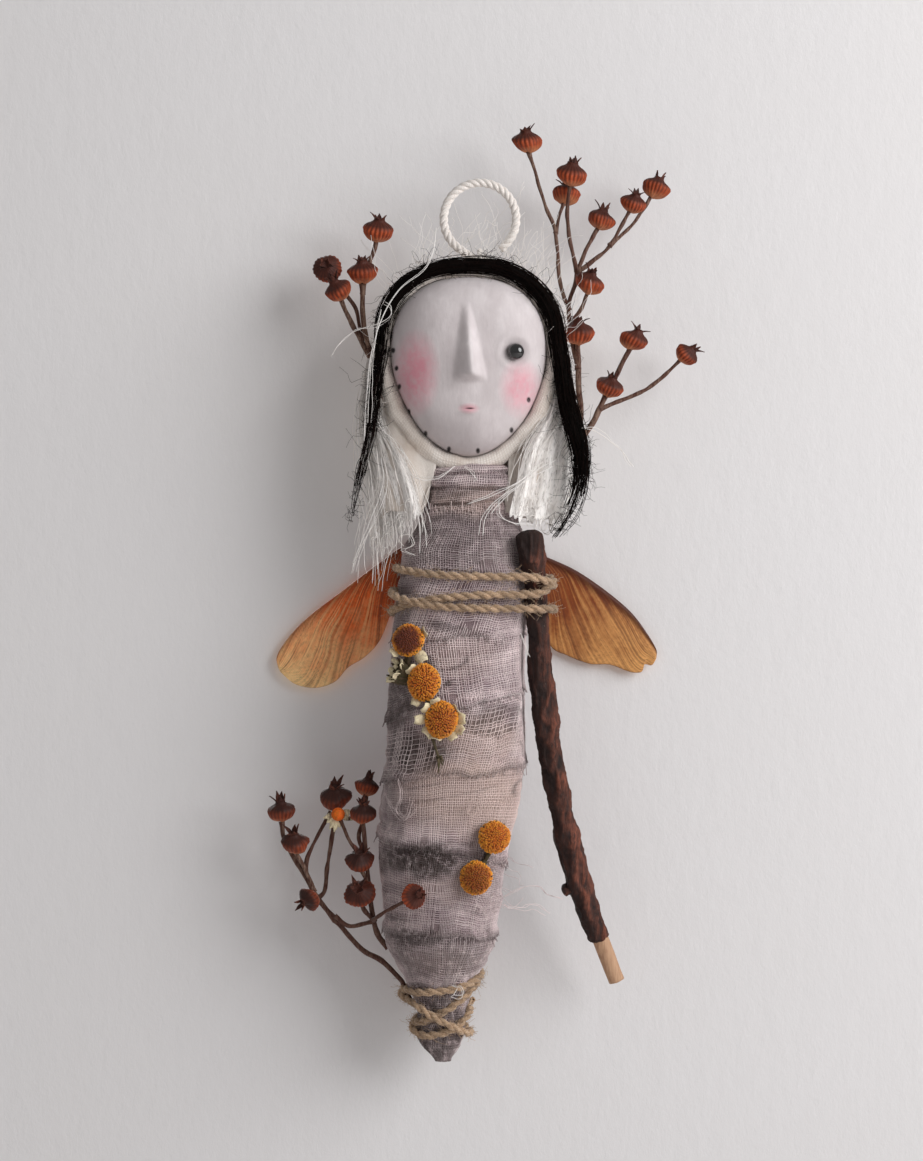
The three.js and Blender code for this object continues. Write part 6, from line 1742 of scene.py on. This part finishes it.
def seed_pod(name, middle, way, radius, dark, rng):
    """One ribbed pod, with the pointed leaves of its crown."""
    middle, way = np.array(middle, dtype=float), unit(way)
    lean, start = rng.uniform(-0.12, 0.12, 2), rng.uniform(0, TURN)

    def shape(reach, height, turn, along):
        angle = TURN * turn
        spot = xyz(np.cos(angle), np.sin(angle), height / 0.8) + start
        weight = ease((height + 0.75) / 0.3) * (1 - 0.55 * ease((height - 0.1) / 0.35)) * (along < 0.86)
        ribs = 0.034 * (1 - 0.5 * dark) * np.cos(POD_RIBS * angle + 1.2 * noise(spot, 0.7, 2)) * weight
        reach = reach * (1 + ribs + (0.11 + 0.05 * dark) * noise(spot, 0.9, 3) + 0.04 * noise(spot, 0.35, 5))
        height = height + lean[0] * np.cos(angle) * reach + 0.07 * noise(spot, 0.7, 4) * (reach > 0.05)
        return reach * radius, height * radius

    body, turn, height = spun(name, POD_PROFILE, middle, way, 126, 22, shape)
    rib = 0.5 + 0.5 * np.cos(POD_RIBS * TURN * turn)
    write(body, "rib", rib)
    write(body, "dark", np.full(len(rib), dark))
    write(body, "height", height / radius)
    close_seam(body)
    side, up = across_ways(way)
    leaves = []
    for i in range(rng.integers(4, 7)):
        angle = start + TURN * (i + rng.uniform(-0.25, 0.25)) / 5
        out = turned(angle, side, up)
        root = middle + radius * (0.29 * out + 0.68 * way)
        leaves.append((root, way + rng.uniform(-0.1, 0.75) * out, out,
                       radius * rng.uniform(0.3, 0.62 + 0.35 * dark), (0.17 + 0.08 * dark) * radius,
                       radius * rng.uniform(-0.1, 0.4), rng.uniform(0, 0.6)))
    return smooth(body), leaves


class DOLL_OT_sprigs(Operator):
    """Model the dried sprigs: forked stems and ribbed seed pods"""
    bl_idname = "doll.sprigs"
    bl_label = "Sprigs"

    def execute(self, context):
        rng = np.random.default_rng(SEED + 6)
        bark = plant_finish("stem_skin", "stem", "stem_grey")
        crown = plant_finish("pod_crown", "sepal", "bark_red")
        # The flower heart borrows the orange of the left wing's painted glow as its own colour
        heart = plant_finish("flower_heart", "floret_core", "backlit_wing_mid")
        petal = plant_finish("flower_petal", "bract", "sepal")
        shell = pod_finish()
        for name, (stems, pods) in SPRIGS.items():
            batches = []
            for route, thick, thin in stems:
                run = np.linalg.norm(np.diff(np.array(route), axis=0), axis=1).sum()
                line = resample(route, int(run / 0.45) + 6)
                along = np.linspace(0, run, len(line))
                radius = 0.8 * (thick + (thin - thick) * along / run) + 0.09 * noise(line, (1.5, 1.5, 2.2), 3)
                radius += 0.25 * np.exp(-along / 0.9) + 0.2 * np.exp((along - run) / 1.1)
                line += 0.14 * np.stack([noise(line, 3.0, 4 + k) for k in range(3)], axis=-1)
                batches.append((line[None], radius[None], rng.uniform(0.2, 1)))
            twigs = tubes(name + "_twigs", batches, sides=10)
            paint(twigs, bark)
            parts, leaves = [twigs], []
            for i, (middle, way, scale, dark) in enumerate(pods):
                radius = (0.88 if name.startswith("sprig_low") else 1.04) * scale * size("pod_radius")
                body, crown_leaves = seed_pod(f"{name}_pod_{i}", middle, way, radius, dark, rng)
                paint(body, shell)
                parts.append(body)
                leaves += crown_leaves
            if name == "sprig_low_outer":
                middle, way = CAUGHT_FLOWER
                ball, turn, _ = spun("flower_heart", FLOWER_RADIUS * BALL_PROFILE, middle, unit(way), 28, 16)
                write(ball, "tone", np.ones(len(turn)))
                close_seam(ball)
                paint(smooth(ball), heart)
                rows = []
                for angle, pale in FLOWER_PETALS:
                    out = np.array([math.cos(angle), -0.25, math.sin(angle)])
                    rows.append((middle + 1.0 * out + (0, 0.9, 0), out, (0, -1, 0), rng.uniform(2, 3.4), 0.75,
                                 rng.uniform(-0.6, 0.8), 1 - pale))
                petals = blades("flower_petals", rows, 0.14)
                paint(petals, petal)
                parts += [ball, petals]
            tips = blades(name + "_tips", leaves, 0.14)
            paint(tips, crown)
            sprig = join([*parts, tips], name + "_dried")
            settle(sprig, "doll", "dry_stem", name)
        return {"FINISHED"}


# Button flowers: x, z, the way each looks, height of the dome, length against width, how brown its middle is,
# and the turns at which its papery bracts stand
BUTTONS = {
    "tansy_upper": ([
        (-15.2, -99.8, (-0.2, -1, 0.15), 0.85, 1.0, 0.95, (0.06, 0.62, 0.86)),
        (-11.9, -108.6, (-0.12, -1, 0), 1.1, 1.16, 0.15, (0.38, 0.72)),
        (-8.5, -116.4, (0.1, -1, -0.1), 1.1, 1.16, 0.3,
         (0.04, 0.13, 0.31, 0.42, 0.52, 0.63, 0.74, 0.86, 0.95)),
    ], [(-17.5, -104.5), (-14.5, -106), (-11, -113), (-10.4, -120), (-9, -124.8)]),
    "tansy_lower": ([
        (2.6, -142.2, (0.25, -1, 0.1), 1.0, 1.0, 0.2, ()),
        (-0.9, -150.8, (0, -1, 0), 1.0, 1.05, 0.6, ()),
    ], [(2.2, -144.9), (1.6, -146.2), (1, -147.4)]),
}
# A shut bud at the body's edge: the root of its cup and the way it looks
BUD = np.array([-15.4, -12.6, -108]), unit((-0.8, -0.36, 0.46))
TANSY_ROOM, TANSY_STEM_RADIUS = 0.9, 0.8


def floret_finish():
    """Packed dry florets: yellow at the rim, amber inside, brown in an old middle."""
    button = Finish("floret", 0.75, Specular_IOR_Level=0.25, Sheen_Weight=0.2)
    base = button.mix(button.attribute("tone"), "floret_core", "floret")
    base = button.mix(button.attribute("brown"), base, "pod_dark")
    flecks = button.noise(0.5, 3)
    button.bump(flecks, 0.08, 0.6)
    return button.done(button.mix(button.spread(flecks, 0.5, 0.75, 0, 0.4), base, "pod_dark"))


def button_dome(name, middle, way, radius, tall, long, brown, rng):
    """A dome of packed florets over a plain core."""
    side, up = across_ways(way)
    count = int(44 * radius ** 2)
    order = (np.arange(count) + 0.5) / count
    drop = np.arccos(1 - 1.22 * order)
    angle = np.arange(count) * math.pi * (3 - math.sqrt(5)) + rng.uniform(-0.12, 0.12, count)
    out = xyz(np.sin(drop) * np.cos(angle), long * np.sin(drop) * np.sin(angle), tall * np.cos(drop))
    out *= (1 + 0.05 * noise(out * 2, 1.0, 2) + rng.uniform(-0.03, 0.03, count))[:, None]
    places = middle + radius * (out @ np.array([side, up, way]))
    lean = out / np.array([1, long, tall]) ** 2
    lean /= np.linalg.norm(lean, axis=1, keepdims=True)
    lean = (lean @ np.array([side, up, way]))[:, None, :]
    routes = places[:, None, :] + lean * np.array([-0.5, -0.06, 0.1, 0.14])[:, None]
    old = brown * ease(1.5 - 2.3 * order + 0.4 * noise(out * 3, 1.0, 5))
    florets = tubes(name, [(routes, np.array([0.2, 0.23, 0.18, 0.08]), np.clip(0.2 + 0.65 * order
                            + rng.uniform(-0.3, 0.3, count), 0, 1))], sides=5)
    write(florets, "brown", np.repeat(old, 20))
    profile = radius * np.array([(0, -0.3), (0.8, -0.3), (0.94, 0), (0.66, 0.66 * tall), (0, 0.93 * tall)])
    core, turn, _ = spun(name + "_core", profile, middle, way, 32, 14)
    for key, value in (("tone", 0.1), ("brown", 0.6)):
        write(core, key, np.full(len(turn), value))
    close_seam(core)
    return join([florets, smooth(core)], name)


def leaf_cup(name, root, way, radius, rng, tall=1.0):
    """A green-brown cup with the overlapping scales round it."""
    profile = radius * np.array([(0, -0.3), (0.2, -0.28), (0.6, -0.06), (0.9, 0.26), (1.0, 0.56),
                                 (0.94, 0.6), (0.8, 0.46), (0, 0.34)]) * (1, tall)
    cup, turn, _ = spun(name, profile, root, way, 40, 18)
    write(cup, "tone", 0.3 + 0.3 * np.cos(13 * TURN * turn))
    close_seam(cup)
    side, up = across_ways(way)
    rows = []
    for ring, count in ((0.1, 11), (0.5, 13)):
        for i in range(count):
            angle = TURN * (i + 0.5 * ring + rng.uniform(-0.2, 0.2)) / count
            out = turned(angle, side, up)
            at = root + radius * ((0.6 + 0.62 * ring) * out + (0.75 * ring - 0.05) * tall * way)
            rows.append((at, way + 0.2 * out, out, tall * radius * rng.uniform(0.3, 0.45), 0.2 * radius,
                         0.05 * radius, rng.uniform(0, 0.6)))
    return smooth(cup), rows


def papery(root, way, radius, turns, rng):
    """Cream bracts that stand round a head at the given turns."""
    side, up = across_ways(way)
    rows = []
    for turn in turns:
        angle = TURN * turn + rng.uniform(-0.15, 0.15)
        out = turned(angle, side, up)
        at = root + radius * (0.94 * out + 0.34 * way)
        rows.append((at, rng.uniform(0.3, 0.9) * way + rng.uniform(0.6, 1.0) * out, way - 0.6 * out,
                     radius * rng.uniform(0.45, 0.8), radius * rng.uniform(0.3, 0.46),
                     radius * rng.uniform(-0.1, 0.3), rng.uniform(0, 0.4)))
    return rows


class DOLL_OT_buttons(Operator):
    """Model the dried button flowers with their cups, bracts and stems"""
    bl_idname = "doll.buttons"
    bl_label = "Button flowers"

    def execute(self, context):
        rng = np.random.default_rng(SEED + 8)
        yellow = floret_finish()
        green = plant_finish("tansy_green", "calyx", "stem_grey", 0.8)
        paper = plant_finish("papery_bract", "bract", "stem_grey", 0.8)
        radius = size("button_radius")
        for name, (heads, route) in BUTTONS.items():
            line = resample([on_front(x, z, TANSY_ROOM + TANSY_STEM_RADIUS) for x, z in route], 60)
            thick = TANSY_STEM_RADIUS * (0.9 + 0.25 * noise(line, 2.0, 3)) * np.linspace(1, 0.45, 60)
            stalks = [(line[None], thick[None], 0.3)]
            cups, scales, bracts = [], [], []
            for i, (x, z, look, tall, long, brown, turns) in enumerate(heads):
                way = unit(look)
                rim = 1.07 * radius
                lift = SEAT + rim * math.sqrt(1 - way[1] ** 2)
                root = on_front(x, z, TANSY_ROOM + lift)
                near = line[np.argmin(np.linalg.norm(line - root, axis=1))]
                stalks.append((np.linspace(near, root + 0.4 * way, 8)[None], 0.65, 0.3))
                cup, rows = leaf_cup(f"{name}_cup_{i}", root, way, radius, rng)
                cups.append(cup)
                scales += rows
                bracts += papery(root, way, radius, turns, rng)
                dome = button_dome(f"{name}_florets_{i + 1}", root + 0.46 * radius * way, way, radius,
                                   0.82 * tall, long, brown, rng)
                paint(dome, yellow)
                settle(dome, "doll", "florets", f"{name}_button_{i + 1}")
            if name == "tansy_upper":
                root, way = BUD
                cup, rows = leaf_cup("bud_cup", root, way, 0.74 * radius, rng, 2.3)
                cups.append(cup)
                scales += rows
                bracts += papery(root + 2.6 * way, way, 0.66 * radius, np.arange(7) / 7 + 0.03, rng)
                bracts += papery(root + 2.8 * way, way, 0.4 * radius, np.arange(5) / 5, rng)
                stalks.append((np.linspace(line[6], root, 8)[None], 0.75, 0.3))
                for _ in range(7):
                    frayed = line[-1] + rng.uniform(-0.5, 0.5, 3) + np.linspace(0, 1, 7)[:, None] * np.array(
                        [rng.uniform(-0.3, 1.2), rng.uniform(-0.3, 0.1), rng.uniform(-3.2, -1.4)])
                    stalks.append((frayed[None], np.linspace(0.3, 0.08, 7), rng.uniform(0, 0.8)))
            stem = tubes(name + "_stem", stalks, sides=8)
            leaves = blades(name + "_scales", scales, 0.16)
            parts = [stem, *cups, leaves]
            for part in parts:
                paint(part, green)
            if bracts:
                pale = blades(name + "_bracts", bracts, 0.14, 0.44)
                paint(pale, paper)
                parts.append(pale)
            settle(join(parts, name + "_green"), "doll", "calyx", name + "_sprig")
        return {"FINISHED"}


# Stage: places and sizes in metres, the lens in millimetres
CAMERA, LENS, FILM_WIDTH = (-0.00407, -0.602, -0.08679), 84.57, 36
WALL_WIDE, WALL_PLACE = 1.6, (0, 0.0146, -0.09)
FLOOR_WIDE, FLOOR_PLACE = 3, (0, 0, -0.262)
# Lights: place and aim in metres, power in watts and width in metres
ROOM_LIGHT = 0.35
LIGHTS = [
    ("window", (0.58, -0.42, 0.18), (0.0, 0.0, -0.09), 5.4, 0.62),
    ("back_fill", (-0.2, 0.85, 0.25), (0.0, 0.0, -0.09), 3.4, 0.6),
]


class DOLL_OT_stage(Operator):
    """Set the camera, the lights, the wall behind the doll and the floor below it"""
    bl_idname = "doll.stage"
    bl_label = "Stage"

    def execute(self, context):
        scene = context.scene
        scene.view_settings.view_transform = "Standard"
        lens = bpy.data.cameras.new("camera")
        lens.lens, lens.sensor_width = LENS, FILM_WIDTH
        camera = bpy.data.objects.new("camera", lens)
        camera.location = CAMERA
        camera.rotation_euler = (math.pi / 2, 0, 0)
        scene.collection.objects.link(camera)
        scene.camera = camera

        plaster = Finish("wall", 0.95, Specular_IOR_Level=0.1)
        relief = plaster.noise((5, 5, 9), 6, roughness=0.7)
        plaster.bump(relief, 0.5, 0.35)
        tint = plaster.mix(plaster.spread(plaster.noise(60, 2), 0.3, 0.7, 0, 0.12), "wall", "floor")
        material = plaster.done(tint)
        clear = plaster.node("BsdfTransparent")
        behind = plaster.node("NewGeometry").outputs["Backfacing"]
        switch = plaster.node("MixShader", i0=behind, i1=plaster.shader.outputs[0], i2=clear.outputs[0])
        plaster.tree.links.new(switch.outputs[0], plaster.tree.nodes["Material Output"].inputs["Surface"])
        deselect()
        bpy.ops.mesh.primitive_plane_add(size=WALL_WIDE)
        wall = named("wall")
        upright = {"value": -math.pi / 2, "orient_axis": "X", "center_override": (0, 0, 0)}
        edit(wall, lambda: bpy.ops.transform.rotate(**upright),
             lambda: bpy.ops.transform.translate(value=WALL_PLACE))
        paint(wall, material)
        wall.visible_diffuse = wall.visible_glossy = wall.visible_transmission = wall.visible_shadow = False

        boards = Finish("floor", 0.9, Specular_IOR_Level=0.1)
        boards.bump(boards.noise(4, 5), 0.3, 0.3)
        tint = boards.mix(boards.noise(40, 3), "floor", "wall")
        deselect()
        bpy.ops.mesh.primitive_plane_add(size=FLOOR_WIDE)
        floor = named("floor")
        edit(floor, lambda: bpy.ops.transform.translate(value=FLOOR_PLACE))
        paint(floor, boards.done(tint))

        for name, place_m, aim, power, wide in LIGHTS:
            lamp = bpy.data.lights.new(name, "AREA")
            lamp.energy, lamp.size, lamp.shape = power, wide, "DISK"
            holder = bpy.data.objects.new(name, lamp)
            holder.location = place_m
            towards = np.array(aim) - np.array(place_m)
            flat = math.hypot(towards[0], towards[1])
            holder.rotation_euler = (math.atan2(flat, -towards[2]), 0, math.atan2(-towards[0], towards[1]))
            scene.collection.objects.link(holder)

        world = bpy.data.worlds.new("room")
        world.use_nodes = True
        scene.world = world
        tree = world.node_tree
        room = tree.nodes["Background"]
        room.inputs["Color"].default_value = (1, 0.99, 0.98, 1)
        room.inputs["Strength"].default_value = ROOM_LIGHT
        seen = tree.nodes.new("ShaderNodeBackground")
        seen.inputs["Color"].default_value = colour("floor")
        path = tree.nodes.new("ShaderNodeLightPath")
        either = tree.nodes.new("ShaderNodeMixShader")
        tree.links.new(path.outputs["Is Camera Ray"], either.inputs[0])
        tree.links.new(room.outputs[0], either.inputs[1])
        tree.links.new(seen.outputs[0], either.inputs[2])
        tree.links.new(either.outputs[0], tree.nodes["World Output"].inputs["Surface"])
        return {"FINISHED"}


OPERATORS = (DOLL_OT_stage, DOLL_OT_body, DOLL_OT_head, DOLL_OT_hood, DOLL_OT_hair, DOLL_OT_veils,
             DOLL_OT_twine, DOLL_OT_loop, DOLL_OT_wings, DOLL_OT_staff, DOLL_OT_sprigs, DOLL_OT_buttons)


class DOLL_PT_panel(Panel):
    """Buttons that model the doll's pieces"""
    bl_idname = "DOLL_PT_panel"
    bl_label = "Wall-hung doll"
    bl_space_type = "VIEW_3D"
    bl_region_type = "UI"
    bl_category = "Doll"

    def draw(self, context):
        for operator in OPERATORS:
            self.layout.operator(operator.bl_idname)
        for group in (context.scene.doll_sizes, context.scene.doll_colours):
            for key in group.__annotations__:
                self.layout.prop(group, key)


CLASSES = (DollColours, DollSizes, *OPERATORS, DOLL_PT_panel)


def register():
    for item in CLASSES:
        bpy.utils.register_class(item)
    bpy.types.Scene.doll_colours = PointerProperty(type=DollColours)
    bpy.types.Scene.doll_sizes = PointerProperty(type=DollSizes)


def unregister():
    del bpy.types.Scene.doll_sizes
    del bpy.types.Scene.doll_colours
    for item in reversed(CLASSES):
        bpy.utils.unregister_class(item)


def main():
    register()
    for operator in OPERATORS:
        group, step = operator.bl_idname.split(".")
        getattr(getattr(bpy.ops, group), step)()
    deselect()


if __name__ == "__main__":
    main()
